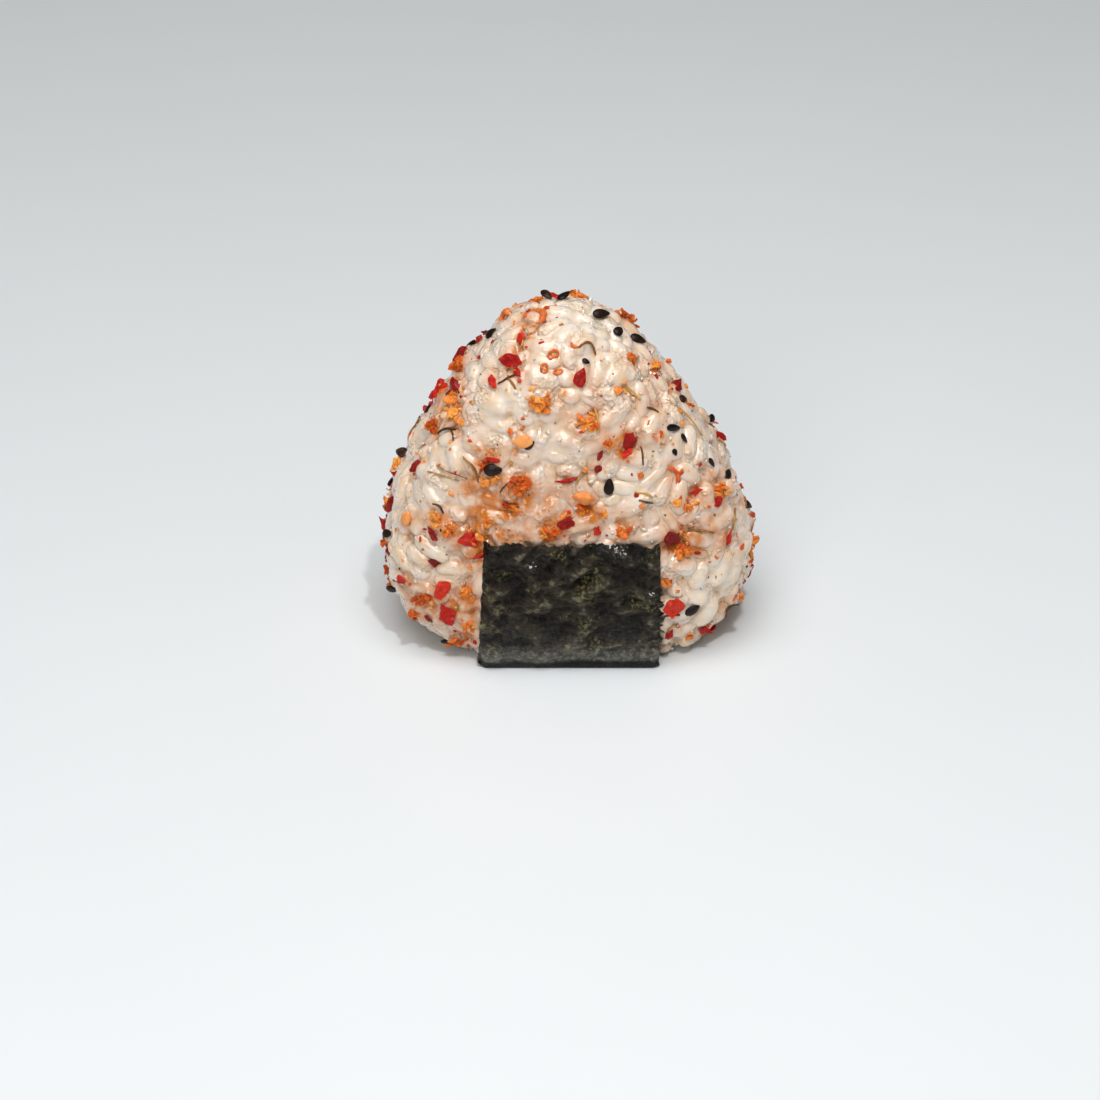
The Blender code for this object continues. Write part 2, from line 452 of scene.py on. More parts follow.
class RiceSpace:
    """The pressed rice's smooth outer envelope, as distances on a grid, in millimetres."""

    STEP = 1.4
    MARGIN = 8.0

    def __init__(self, cad, smoothing, widening):
        bm = bmesh.new()
        bm.from_mesh(cad.data)
        bmesh.ops.remove_doubles(bm, verts=bm.verts[:], dist=1e-6)
        bmesh.ops.scale(bm, vec=(1 / MM,) * 3, verts=bm.verts[:])
        uneven = [vert.co.copy() for vert in bm.verts]
        for _ in range(smoothing):
            bmesh.ops.smooth_vert(bm, verts=bm.verts[:], factor=0.5,
                                  use_axis_x=True, use_axis_y=True, use_axis_z=True)
        bm.normal_update()
        around = [[edge.other_vert(vert).index for edge in vert.link_edges] + [vert.index]
                  for vert in bm.verts]
        rise = [(uneven[v.index] - v.co).dot(v.normal) for v in bm.verts]
        for _ in range(widening):
            rise = [max(rise[i] for i in ring) for ring in around]
        for _ in range(widening):
            rise = [sum(rise[i] for i in ring) / len(ring) for ring in around]
        for vert in bm.verts:
            vert.co += vert.normal * rise[vert.index]
        bmesh.ops.triangulate(bm, faces=bm.faces[:])
        bm.normal_update()
        self.corners = np.array([[vert.co for vert in face.verts] for face in bm.faces])
        self.areas = np.array([face.calc_area() for face in bm.faces])
        self.tree = BVHTree.FromBMesh(bm)
        self.measure()
        bm.free()

    def measure(self):
        """Fill the grid with signed distances and their slopes."""
        low = self.corners.min((0, 1)) - self.MARGIN
        high = self.corners.max((0, 1)) + self.MARGIN
        self.low = low
        self.shape = np.ceil((high - low) / self.STEP).astype(int) + 1
        grid = np.empty(self.shape)
        for index in np.ndindex(*self.shape):
            point = Vector(low + np.array(index) * self.STEP)
            near, normal, _, distance = self.tree.find_nearest(point)
            outside = (point - near).dot(normal) > 0
            grid[index] = distance if outside else -distance
        slopes = np.stack(np.gradient(grid, self.STEP), -1)
        self.stack = np.concatenate([grid[..., None], slopes], -1)

    def read(self, points):
        """Give the signed distance and the outward direction at points."""
        flat = points.reshape(-1, 3)
        place = np.clip((flat - self.low) / self.STEP, 0, self.shape - 1.001)
        cell = place.astype(int)
        part = place - cell
        total = 0
        for corner in np.ndindex(2, 2, 2):
            share = np.where(corner, part, 1 - part).prod(-1, keepdims=True)
            total = total + share * self.stack[tuple((cell + corner).T)]
        distance = total[:, 0].reshape(points.shape[:-1])
        return distance, unit(total[:, 1:]).reshape(points.shape)

    def scatter(self, count, rng):
        """Give points spread evenly by area over the envelope."""
        share = self.areas / self.areas.sum()
        chosen = rng.choice(len(share), count, p=share)
        a, b = rng.random((2, count, 1))
        fold = a + b > 1
        a, b = np.where(fold, 1 - a, a), np.where(fold, 1 - b, b)
        first, second, third = self.corners[chosen].transpose(1, 0, 2)
        return first + a * (second - first) + b * (third - first)


class Grains:
    """Rice grains as rods that settle against each other and the envelope."""

    PRESS = 0.80
    ROUND_STEP = 0.6
    TIPPED_SHARE = 0.24

    def __init__(self, space, counts, depths, length, width, rng):
        total = sum(counts)
        self.layer = np.repeat(np.arange(len(counts)), counts)
        start = space.scatter(total, rng)
        _, outward = space.read(start)
        self.length = length * rng.normal(1.0, 0.11, total).clip(0.66, 1.22)
        self.width = width * rng.normal(1.0, 0.08, total).clip(0.80, 1.2)
        self.half = (self.length - self.width) / 2
        dips = np.array(depths)[self.layer]
        self.dip = dips[:, :1] + (dips[:, 1:] - dips[:, :1]) * rng.random((total, 1)) ** 1.5
        tipped = rng.random(total) < self.TIPPED_SHARE
        tilt = np.where(tipped, rng.uniform(0.8, 2.6, total), rng.uniform(-0.2, 0.2, total))
        self.dips = self.dip + tilt[:, None] * np.array([[0.0, 0.5, 1.0]])
        random = rng.normal(size=(total, 3))
        self.axis = unit(random - (random * outward).sum(-1, keepdims=True) * outward)
        self.centre = start - outward * (self.width[:, None] / 2 + self.dip)

    def settle(self, space, rounds):
        """Push overlapping grains apart and hold each at its depth."""
        ends = np.array([-1.0, 0.0, 1.0])
        radius = self.width / 2
        for turn in range(rounds):
            if turn % 8 == 0:
                first, second = self.neighbours(self.length.max() * 1.1)
            spots = (self.centre[:, None]
                     + self.axis[:, None] * (ends[:, None] * self.half[:, None, None]))
            gap = spots[second][:, None] - spots[first][:, :, None]
            distance = np.linalg.norm(gap, axis=-1)
            wanted = self.PRESS * (radius[first] + radius[second])[:, None, None]
            push = np.maximum(0.0, wanted - distance) * 0.5 * self.ROUND_STEP
            step = gap / np.maximum(distance, 1e-6)[..., None] * push[..., None]
            move = np.zeros_like(spots)
            np.add.at(move, first, -step.sum(2))
            np.add.at(move, second, step.sum(1))
            out, outward = space.read(spots)
            wrong = out + radius[:, None] + self.dips
            move -= outward * wrong[..., None] * 0.5
            limit = np.linalg.norm(move, axis=-1, keepdims=True)
            move *= np.minimum(1.0, self.ROUND_STEP / np.maximum(limit, 1e-6))
            spots = spots + move
            self.centre = spots.mean(1)
            self.axis = unit(spots[:, 2] - spots[:, 0])

    def neighbours(self, reach):
        """List the pairs of grains whose centres lie within reach."""
        squares = (self.centre ** 2).sum(1)
        apart = squares[:, None] + squares[None] - 2 * self.centre @ self.centre.T
        return np.nonzero(np.triu(apart < reach ** 2, 1))

    def keep(self, wanted):
        """Drop the grains that aren't wanted."""
        for key in ("layer", "length", "width", "half", "dip", "dips", "centre", "axis"):
            setattr(self, key, getattr(self, key)[wanted])

    def shapes(self, chosen, template, space, rng):
        """Shape each chosen grain, then flatten it where others and the mould press on it."""
        many = len(chosen)
        length = self.length[chosen][:, None]
        width = self.width[chosen][:, None]
        axis = self.axis[chosen]
        centre = self.centre[chosen]
        _, outward = space.read(centre)
        side = unit(np.cross(outward, axis))
        flat = unit(np.cross(axis, side))
        turn = rng.uniform(-0.5, 0.5, many)[:, None]
        side, flat = (side * np.cos(turn) + flat * np.sin(turn),
                      flat * np.cos(turn) - side * np.sin(turn))
        along, across, up = (np.repeat(part[None], many, 0) for part in template.T)
        # Full middle and round ends: the ball's profile is squared off along its length.
        plump = 1 + 0.5 * (1 - along ** 2) * along ** 2
        taper = 1 + rng.uniform(-0.14, 0.14, (many, 1)) * along
        # The germ's place is a small bite out of one end's edge.
        bite = np.exp(-((along - 0.86) ** 2 / 0.03 + (across - 0.25) ** 2 / 0.12))
        bite *= across > -0.2
        ridge = 1 + 0.03 * np.cos(3 * np.arctan2(across, up))
        bend = rng.uniform(-0.12, 0.12, (many, 1)) * length * along ** 2
        thick = rng.uniform(0.76, 0.95, (many, 1))
        round_wide = width / 2 * plump * taper * ridge
        x = along * length / 2 * (1 - 0.10 * bite)
        y = across * round_wide * (1 - 0.35 * bite) + bend
        z = up * round_wide * thick
        points = (centre[:, None] + x[..., None] * axis[:, None] + y[..., None] * side[:, None]
                  + z[..., None] * flat[:, None])
        self.press(points, chosen, space)
        return points

    def press(self, points, chosen, space):
        """Move points out of neighbouring grains by half, and back inside the envelope."""
        apart = np.linalg.norm(self.centre[chosen][:, None] - self.centre[None], axis=-1)
        order = np.argsort(apart, axis=1)[:, 1:15]
        for other in order.T:
            axis = self.axis[other][:, None]
            half_long = self.length[other][:, None] / 2
            half_wide = self.width[other][:, None] / 2
            off = points - self.centre[other][:, None]
            along = (off * axis).sum(-1)
            radial = off - along[..., None] * axis
            across = np.linalg.norm(radial, axis=-1)
            gauge = np.sqrt((along / half_long) ** 2 + (across / half_wide) ** 2)
            inside = np.maximum(0.0, (1 - gauge) * half_wide)
            away = unit(radial / half_wide[..., None] ** 2
                        + (along / half_long ** 2)[..., None] * axis)
            points += away * inside[..., None] * 0.5
        out, outward = space.read(points)
        limit = -np.minimum(self.dip[chosen], 0.9)
        points -= outward * (np.maximum(0.0, out - limit) * 0.35)[..., None]


# ---- settings ----------------------------------------------------------------------

class OnigiriRiceSettings(bpy.types.PropertyGroup):
    """Sizes and colours of the rice."""

    grain_length: FloatProperty(
        name="Grain length", description="Length of a cooked short grain", default=7.3 * MM,
        unit='LENGTH')
    grain_width: FloatProperty(
        name="Grain width", description="Width of a cooked short grain", default=3.9 * MM,
        unit='LENGTH')
    crowding: FloatProperty(
        name="Crowding", description="Grain area for each unit of surface", default=1.20)
    closing: FloatProperty(
        name="Closing", description="Rounding of the starch in the gaps between grains",
        default=0.45 * MM, unit='LENGTH')
    film: FloatProperty(
        name="Film", description="How far the starch stands from the crowns of the grains",
        default=-0.07 * MM, unit='LENGTH')
    film_change: FloatProperty(
        name="Film change", description="How much the starch's level changes from place to place",
        default=0.60 * MM, unit='LENGTH')
    broken_bits: IntProperty(
        name="Broken bits", description="Small wet bits of broken grain", default=620)
    clear_color: FloatVectorProperty(
        name="Clear starch", description="Glassy part of a grain", subtype='COLOR',
        default=linear("E4CDAE"))
    milky_color: FloatVectorProperty(
        name="Milky starch", description="Whitest part of a grain", subtype='COLOR',
        default=linear("ECE0D3"))
    # Painted shade: the darker peach given to the creases is partly the starch's own warmth and
    # partly the shade in the gaps.
    crease_shade_color: FloatVectorProperty(
        name="Creases", description="Peach of the starch between grains", subtype='COLOR',
        default=linear("E0B078"))
    oil_color: FloatVectorProperty(
        name="Seasoning oil", description="Orange that soaks into the gaps", subtype='COLOR',
        default=linear("DF9340"))


class OnigiriNoriSettings(bpy.types.PropertyGroup):
    """Sizes of the nori strip."""

    thickness: FloatProperty(
        name="Thickness", description="Thickness of the sheet", default=0.2 * MM, unit='LENGTH')
    crinkle: FloatProperty(
        name="Crinkle", description="Height of the sheet's lumps", default=1.6 * MM,
        unit='LENGTH')
    lip_height: FloatProperty(
        name="Lip height", description="How high the fold's edge stands off the table",
        default=2.1 * MM, unit='LENGTH')
    lip_reach: FloatProperty(
        name="Lip reach", description="How far the fold's edge juts out", default=1.1 * MM,
        unit='LENGTH')


class OnigiriSeasoningSettings(bpy.types.PropertyGroup):
    """Numbers of the seasoning."""

    scattered: FloatProperty(
        name="Scattered share", default=1.3,
        description="Pieces scattered on the sides, top and back for each placed on the front")
    specks: IntProperty(
        name="Specks", description="Fine specks of each kind over the whole", default=430)


class OnigiriStageSettings(bpy.types.PropertyGroup):
    """Camera, floor and light."""

    lens: FloatProperty(name="Lens", description="Focal length in millimetres", default=152.0)
    distance: FloatProperty(
        name="Distance", description="Camera to rice ball", default=0.903, unit='LENGTH')
    elevation: FloatProperty(
        name="Elevation", description="Camera angle above the horizon",
        default=math.radians(31.2), subtype='ANGLE')
    aside: FloatProperty(
        name="Aside", description="How far right of the picture's middle the base stands",
        default=3.75 * MM, unit='LENGTH')
    below: FloatProperty(
        name="Below", description="How far below the picture's middle the base stands",
        default=12.96 * MM, unit='LENGTH')
    overhead_power: FloatProperty(
        name="Overhead light", description="Power of the wide light overhead", default=4.15,
        subtype='POWER')
    front_power: FloatProperty(
        name="Front light", description="Power of the wide light in front", default=2.25,
        subtype='POWER')
    glint_power: FloatProperty(
        name="Glint light", description="Power of the small light that wet rice reflects",
        default=2.1, subtype='POWER')
    floor_color: FloatVectorProperty(
        name="Floor", description="Colour of the floor", subtype='COLOR',
        default=linear("E4E8EA"))


SETTINGS = {
    "onigiri_rice": OnigiriRiceSettings,
    "onigiri_nori": OnigiriNoriSettings,
    "onigiri_seasoning": OnigiriSeasoningSettings,
    "onigiri_stage": OnigiriStageSettings,
}

# What one operator makes and a later one needs: where the eye is, the rice's space, the
# seasoning's plan and stains, and the surface that the rice shows.
made = {}


# ---- where the seasoning lies ------------------------------------------------------

Spot = namedtuple("Spot", "point outward turn long wide")

# Each row is a piece on the shown face, placed one by one: its place across (from the middle,
# in half widths) and up (in heights), its turn in degrees, and its length and width in
# millimetres. A shred's last number is how far it bends.
PLACED = {
    "sesame": (
        (-0.12, 0.91, 8, 3.4, 1.6), (-0.03, 0.91, 30, 3.2, 1.8), (0.17, 0.86, -28, 3.6, 1.9),
        (0.26, 0.81, 10, 2.3, 1.9), (0.37, 0.79, -62, 3.3, 1.9), (-0.43, 0.81, 65, 2.8, 1.8),
        (-0.56, 0.79, 48, 3.9, 1.7), (0.09, 0.73, -30, 1.6, 1.0), (0.62, 0.62, -25, 2.0, 1.6),
        (0.57, 0.54, -8, 3.6, 1.4), (0.63, 0.51, -60, 2.2, 1.0), (-0.22, 0.49, 40, 2.4, 1.4),
        (-0.42, 0.42, 3, 3.6, 2.4), (0.22, 0.37, 86, 3.4, 2.0), (-1.0, 0.39, 60, 2.6, 1.8),
        (0.68, 0.02, 40, 3.4, 2.0), (-1.01, 0.24, 80, 3.2, 1.2), (-0.66, -0.07, -15, 4.0, 1.4),
        (0.58, 0.47, -70, 1.5, 1.0), (0.78, 0.44, -60, 2.2, 0.9), (0.98, 0.32, -60, 2.2, 1.4),
        (0.88, 0.41, 20, 2.6, 1.5),
    ),
    "flakes": (
        (-0.31, 0.73, 3, 4.2, 2.2), (-0.29, 0.70, -40, 1.6, 1.1), (-0.42, 0.67, -60, 2.2, 1.2),
        (-0.64, 0.76, 75, 4.6, 2.2), (-0.62, 0.66, -5, 3.4, 1.8), (-0.72, 0.64, 50, 4.2, 1.5),
        (0.06, 0.68, 78, 2.9, 1.8), (0.33, 0.50, 70, 3.2, 2.2), (0.32, 0.47, 40, 2.4, 1.2),
        (-0.85, 0.43, 42, 2.8, 1.5), (-0.01, 0.27, 35, 3.0, 2.0), (0.57, 0.22, -50, 2.8, 2.0),
        (0.71, 0.36, 12, 2.2, 1.3), (0.81, 0.33, 30, 2.4, 1.4), (0.89, 0.22, 72, 3.4, 1.0),
        (-0.75, 0.15, -18, 2.4, 1.6), (-0.92, 0.11, -50, 1.8, 1.2), (-0.70, 0.08, 60, 3.4, 2.2),
        (-0.67, 0.01, -65, 4.4, 2.6), (-0.75, 0.24, -48, 2.8, 1.0), (-0.50, 0.17, 25, 2.0, 1.2),
        (-0.55, 0.22, 5, 3.4, 2.0), (-0.42, 0.45, -10, 2.8, 0.7), (0.58, 0.03, 0, 3.2, 2.6),
        (0.75, -0.04, 15, 2.4, 1.6), (0.81, -0.04, 50, 1.4, 1.2),
        (0.84, 0.53, -70, 4.2, 0.9), (0.17, 0.46, 75, 1.7, 0.7),
        (0.16, 0.42, 0, 1.2, 1.0), (-0.09, 0.92, 0, 2.2, 1.6), (-0.27, 0.80, 85, 2.4, 1.4),
        (0.59, 0.66, 10, 2.6, 2.0), (-0.02, 0.39, 12, 3.6, 0.9), (0.55, -0.05, 60, 2.4, 1.4),
        (-0.77, 0.0, -30, 1.8, 1.2),
    ),
    "crumbs": (
        (-0.18, 0.61, 50, 5.2, 4.4), (0.10, 0.55, 30, 4.6, 4.0), (-0.27, 0.37, 0, 3.8, 3.2),
        (-0.46, 0.44, 60, 3.4, 1.2), (-0.45, 0.39, 20, 2.6, 1.0), (-0.50, 0.22, 30, 4.0, 1.4),
        (-0.75, 0.28, 40, 3.4, 2.6), (-0.66, 0.25, 2, 3.0, 1.2), (-1.07, 0.33, 20, 3.8, 2.4),
        (-0.63, 0.58, 0, 3.6, 3.0), (-0.75, 0.54, 30, 2.8, 2.2), (-0.60, 0.72, 80, 3.4, 2.4),
        (-0.65, 0.63, 80, 3.6, 2.0), (0.48, 0.71, 0, 2.8, 2.0), (0.35, 0.74, -40, 2.2, 1.6),
        (0.67, 0.60, 45, 2.4, 1.8), (0.85, 0.36, 60, 3.2, 1.8), (-0.09, 0.24, 20, 3.8, 2.4),
        (-0.31, 0.31, 0, 3.2, 1.8), (-0.44, 0.27, 30, 4.0, 1.6), (0.22, 0.50, 60, 2.6, 2.0),
        (0.66, 0.32, 0, 3.6, 1.6), (0.50, 0.52, 0, 2.2, 1.2), (0.62, 0.19, -10, 4.0, 1.6),
        (-0.82, 0.05, 0, 3.6, 2.6), (-0.85, 0.01, 50, 3.0, 2.0), (-0.62, -0.07, 20, 2.8, 1.8),
        (-0.55, -0.02, 60, 2.6, 1.8), (-0.56, 0.06, 0, 2.8, 1.4), (0.53, 0.09, 60, 2.0, 1.4),
        (0.07, 0.30, 80, 3.4, 1.8), (0.20, 0.29, 85, 1.8, 0.9), (0.29, 0.24, 10, 3.6, 1.4),
    ),
    "beans": (
        (-0.25, 0.50, 15, 3.8, 2.4), (0.08, 0.34, -8, 4.2, 2.4), (-0.90, 0.28, 70, 3.2, 2.0),
    ),
    "curls": (
        (-0.20, 0.85, -25, 7.4, 1.4), (-0.36, 0.85, 50, 3.8, 1.5), (0.56, 0.40, -50, 5.0, 1.0),
        (0.04, 0.78, 160, 2.6, 0.6),
    ),
    "rings": (
        (-0.09, 0.75, 0, 2.3, 0.5), (-0.14, 0.71, 60, 2.0, 0.45), (-0.06, 0.70, 0, 1.7, 0.4),
    ),
    "shreds": (
        (0.64, 0.57, -50, 11.5, 0.8), (-0.54, 0.42, -60, 5.5, 0.8), (-0.55, 0.43, -58, 4.5, 0.5),
        (-0.70, 0.40, -10, 6.5, 0.3), (-0.66, 0.41, -18, 6.5, 0.3), (0.41, 0.35, -18, 3.6, 0.2),
        (0.42, 0.33, -20, 3.0, 0.2), (0.32, 0.65, -40, 3.6, 0.2), (0.35, 0.64, -45, 4.0, 0.3),
        (0.46, 0.59, -25, 2.8, 0.5), (-0.34, 0.68, 30, 3.8, 0.1), (-0.32, 0.67, -55, 3.0, 0.1),
        (0.40, 0.46, -85, 3.4, 0.1), (-0.50, 0.84, 60, 2.6, 0.4), (-0.28, 0.79, -50, 2.8, 0.7),
        (-0.69, 0.53, 25, 4.2, 0.6), (-0.66, 0.52, -50, 2.4, 0.2), (-0.87, 0.56, 40, 3.6, 1.0),
        (0.10, 0.76, -20, 3.6, 1.6), (0.07, 0.39, 40, 2.8, 0.8), (-0.36, 0.37, 55, 2.4, 0.1),
        (0.91, 0.28, 85, 4.2, 0.4), (0.72, 0.24, -3, 5.5, 0.3), (0.85, 0.50, -50, 3.0, 0.2),
        (0.15, 0.56, -85, 4.4, 0.3), (-0.72, 0.31, -55, 2.6, 0.3), (0.56, 0.0, 8, 3.6, 0.2),
        (0.57, -0.03, 25, 2.4, 0.3),
    ),
}

# Where the seasoning's oil has soaked in on the shown face: across and up as above, then
# how far it reaches in millimetres and how strong it is; less than nothing is a clean place.
SOAKED = (
    (-0.44, 0.43, 3.2, 2.2), (-0.48, 0.36, 3.6, 1.6), (-0.42, 0.28, 4.0, 1.1),
    (-0.50, 0.24, 4.0, 1.2), (-0.33, 0.22, 3.6, 0.9), (0.10, 0.27, 3.0, 0.7),
    (-0.55, 0.18, 3.6, 1.2), (0.62, 0.20, 4.0, 0.9), (0.80, 0.24, 4.5, 0.8),
    (-0.84, 0.04, 4.5, 1.0), (-0.60, 0.03, 4.5, 1.0), (-0.10, 0.30, 4.0, 0.7),
    (0.45, 0.62, 6.0, 0.35), (-0.74, 0.60, 4.5, 0.6), (-0.15, 0.24, 4.0, 0.6),
    (0.85, 0.40, 4.0, 0.5), (-0.70, 0.75, 3.0, 0.5), (0.30, 0.25, 4.0, 0.5),
    (-0.55, -0.06, 3.0, 0.6), (0.05, 0.60, 5.0, 0.35), (0.32, 0.48, 3.5, 0.8),
    (-0.64, 0.66, 4.0, 0.8), (-0.62, 0.57, 3.5, 0.7), (-0.27, 0.36, 3.5, 0.7),
    (0.72, 0.07, 6.0, -0.6), (-0.22, 0.60, 5.0, -0.4), (0.30, 0.40, 4.0, -0.4),
    (-0.70, 0.16, 3.5, -0.5), (0.05, 0.86, 6.0, -0.5),
)


def aimed(space, across, up):
    """Give the envelope's point that shows at a share of the outline, and its direction."""
    target = np.array((across * WIDTH / 2, 0.0, 0.0)) + up * HEIGHT * made["up"]
    ahead = unit(target - made["eye"])
    hit = space.tree.ray_cast(Vector(made["eye"]), Vector(ahead))[0]
    if hit is None:
        # The line passes the rice by: take the place that it comes nearest to.
        middle = (np.array((0.0, 0.0, HEIGHT * 0.4)) - made["eye"]).dot(ahead)
        beside = [made["eye"] + ahead * (middle + step) for step in range(-30, 31, 2)]
        nearest = [space.tree.find_nearest(Vector(point)) for point in beside]
        hit = min(nearest, key=lambda found: found[3])[0]
    point = np.array(hit)
    return point, space.read(point[None])[1][0]


def plan_seasoning(space, share):
    """Choose every piece's place: listed on the shown face, scattered on the rest."""
    rng = np.random.default_rng(23)
    plan = {}
    taken = []
    for kind, rows in PLACED.items():
        plan[kind] = [Spot(*aimed(space, across, up), math.radians(turn), long, wide)
                      for across, up, turn, long, wide in rows]
        taken += [spot.point for spot in plan[kind]]
    for kind, rows in PLACED.items():
        for point, outward in scattered(space, int(len(rows) * share), 1.6, taken, rng):
            like = rows[rng.integers(len(rows))]
            turn = rng.uniform(-math.pi, math.pi)
            plan[kind].append(Spot(point, outward, turn, *(like[3:] * rng.uniform(0.8, 1.1, 2))))
    stains = [(aimed(space, across, up)[0], reach, strength)
              for across, up, reach, strength in SOAKED]
    for point, _ in scattered(space, len(SOAKED), 3.0, [], rng):
        stains.append((point, rng.uniform(2.6, 5.0), rng.uniform(0.4, 0.9)))
    for kind in ("flakes", "crumbs", "beans", "curls"):
        stains += [(spot.point, 1.2 + 0.4 * spot.long, rng.uniform(0.35, 0.95))
                   for spot in plan[kind]]
    return plan, stains


def scattered(space, count, apart, taken, rng):
    """Choose places that the eye's side doesn't show, each apart from those taken."""
    chosen = []
    while len(chosen) < count:
        point = space.scatter(1, rng)[0]
        outward = space.read(point[None])[1][0]
        shown = outward.dot(unit(made["eye"] - point)) > 0.12
        beneath = outward[2] < -0.6 or point[2] < 2.0
        if shown or beneath or under_nori(point[None], -1.0)[0]:
            continue
        if taken and min(np.linalg.norm(point - other) for other in taken) < apart:
            continue
        chosen.append((point, outward))
        taken.append(point)
    return chosen


def under_nori(points, inset):
    """Say which points lie behind the nori, at least inset inside its edges."""
    beside = (points[:, 0] > NORI_LOW[0] + inset) & (points[:, 0] < NORI_HIGH[0] - inset)
    return beside & (points[:, 2] < NORI_HIGH[2] - inset)


def stain_at(points):
    """Give how strongly the seasoning's oil has coloured the rice at each point."""
    total = np.full(len(points), 0.16)
    for place, reach, strength in made["stains"]:
        total += strength * np.exp(-((points - place) ** 2).sum(1) / reach ** 2)
    return np.clip(total, 0.0, 1.4)


def rice_height(point, outward):
    """Give how high the shown rice stands over a point, along its outward direction."""
    reach = 6.0
    hit = made["surface"].ray_cast(Vector(point + outward * reach), Vector(-outward), 2 * reach)
    return 0.0 if hit[0] is None else reach - hit[3]


def tangents(outward, turn):
    """Give the directions along and across a piece that lies turned on the rice."""
    right = unit(np.cross((0.0, 0.3, 1.0), outward))
    over = np.cross(outward, right)
    along = right * math.cos(turn) + over * math.sin(turn)
    return along, np.cross(outward, along)


def seat(spot, lift):
    """Rest a stiff piece on the rice's crowns; give its place and its three directions."""
    along, across = tangents(spot.outward, spot.turn)
    reach_long, reach_wide = spot.long * 0.35, spot.wide * 0.35
    heights = np.array([
        rice_height(spot.point + along * reach_long * a + across * reach_wide * b, spot.outward)
        for a, b in ((0, 0), (1, 0), (-1, 0), (0, 1), (0, -1))])
    heights = np.maximum(heights, heights.max() - 1.2)
    along = unit(along + spot.outward * (heights[1] - heights[2]) / (2 * reach_long))
    across = unit(across + spot.outward * (heights[3] - heights[4]) / (2 * reach_wide))
    outward = unit(np.cross(along, across))
    across = np.cross(outward, along)
    rise = 0.25 * heights.mean() + 0.75 * heights.max() + lift
    return spot.point + spot.outward * rise, np.stack((along, across, outward))


# ---- shapes of the seasoning: along x, across y, outward z, in millimetres ------------

def leaned(place, axes, share):
    """Turn a piece that shows edge-on round the rice's side partly towards the eye."""
    ahead = unit(made["eye"] - place)
    facing = axes[2].dot(ahead)
    share *= max(0.0, 1.0 - facing) if facing > -0.25 else 0.0
    outward = unit(axes[2] + share * ahead)
    across = unit(np.cross(outward, axes[0]))
    return np.stack((np.cross(across, outward), across, outward))


def draped(shape, spot, lift):
    """Lay a long piece over the rice so that it bends with the rice's curve."""
    along, across = tangents(spot.outward, spot.turn)
    flat = spot.point + shape[:, :1] * along + shape[:, 1:2] * across
    below = np.array([made["space"].tree.find_nearest(Vector(point))[0] for point in flat])
    outward = made["space"].read(below)[1]
    return below + outward * (shape[:, 2:] + lift + rice_height(spot.point, spot.outward))


def seed_shape(template, long, wide):
    """A flat teardrop with faint ribs, pointed at the far end."""
    along, across, up = template.T
    taper = 1 - 0.30 * along - 0.12 * along ** 2
    rib = 1 + 0.05 * np.cos(6 * np.arctan2(across, up))
    return np.stack((along * long / 2, across * wide / 2 * taper * rib,
                     up * wide * 0.24 * taper * rib), 1)


def bean_shape(template, long, wide, rng):
    """A smooth plump crumb, wrinkled a little."""
    bulge = 1 + 0.45 * lumpy(template, 0.9, rng.uniform(0, 50))
    return template * (long / 2, wide / 2, wide * 0.34) * bulge[:, None]


def crumb_shape(template, size, rng):
    """A porous broken crumb with corners and hollows."""
    seed = rng.uniform(0, 90)
    bulge = 0.78 + 0.9 * lumpy(template, 0.8, seed) + 0.5 * lumpy(template, 0.35, seed + 7)
    stretch = rng.uniform(0.45, 1.25, 3) * (1.0, 1.0, 0.75)
    return template * stretch * np.clip(bulge, 0.35, 1.5)[:, None] * size / 2


def flake_shape(long, wide, rng):
    """A thin broken plate with straight torn edges, crumpled and thicker in its middle."""
    corners = rng.integers(4, 8)
    turns = (np.arange(corners) + rng.uniform(-0.25, 0.25, corners)) * 2 * math.pi / corners
    reach = rng.uniform(0.85, 1.35, corners)
    outline = np.stack((np.cos(turns) * reach, np.sin(turns) * reach), 1)
    steps = np.linspace(0, corners, 16, endpoint=False)
    first = steps.astype(int)
    part = (steps - first)[:, None]
    rim = outline[first] * (1 - part) + outline[(first + 1) % corners] * part
    rim *= 1 + 0.10 * rng.uniform(-1, 1, (16, 1))
    flat = np.concatenate([np.zeros((1, 2)), rim * 0.55, rim, rim * 0.55, np.zeros((1, 2))])
    flat *= (long / 2, wide / 2)
    seed = rng.uniform(0, 90)
    spots = np.concatenate([flat, np.zeros((50, 1))], 1)
    rise = 0.6 * lumpy(spots, 1.8, seed) + 0.35 * lumpy(spots, 0.6, seed)
    rise += rng.uniform(-0.09, 0.05) * flat[:, 0] ** 2
    half_thick = np.concatenate([[0.16], np.full(16, 0.15), np.zeros(16), np.full(16, -0.14),
                                 [-0.14]])
    points = np.concatenate([flat, (rise + half_thick)[:, None]], 1)
    faces = []
    for here in range(16):
        after = (here + 1) % 16
        faces.append((0, 1 + here, 1 + after))
        faces.append((1 + here, 17 + here, 17 + after, 1 + after))
        faces.append((17 + here, 33 + here, 33 + after, 17 + after))
        faces.append((33 + here, 49, 33 + after))
    return points, faces


def tipped(rng):
    """Give the directions of a scrap that lies tipped any way."""
    along, across = unit(rng.normal(size=(2, 3)) * (1.0, 1.0, 0.6))
    outward = unit(np.cross(along, across))
    return np.stack((along, np.cross(outward, along), outward))


def curl_shape(long, wide, rng):
    """A tiny dried shrimp: a ringed tube bent round, thick at its head."""
    steps = np.linspace(0.0, 1.0, 26)
    turns = steps * math.radians(rng.uniform(170, 235))
    radius = long / 2 * 0.8 * (1 - 0.25 * steps)
    path = np.stack((np.cos(turns) * radius, np.sin(turns) * radius * 0.8,
                     0.25 * wide * np.sin(turns * 1.7)), 1)
    ringed = 1 + 0.13 * np.cos(steps * 2 * math.pi * 8)
    blunt = np.clip(np.minimum(steps * 9, (1 - steps) * 14), 0.25, 1)
    return tube(path, wide / 2 * (1 - 0.55 * steps) * ringed * blunt, 9)


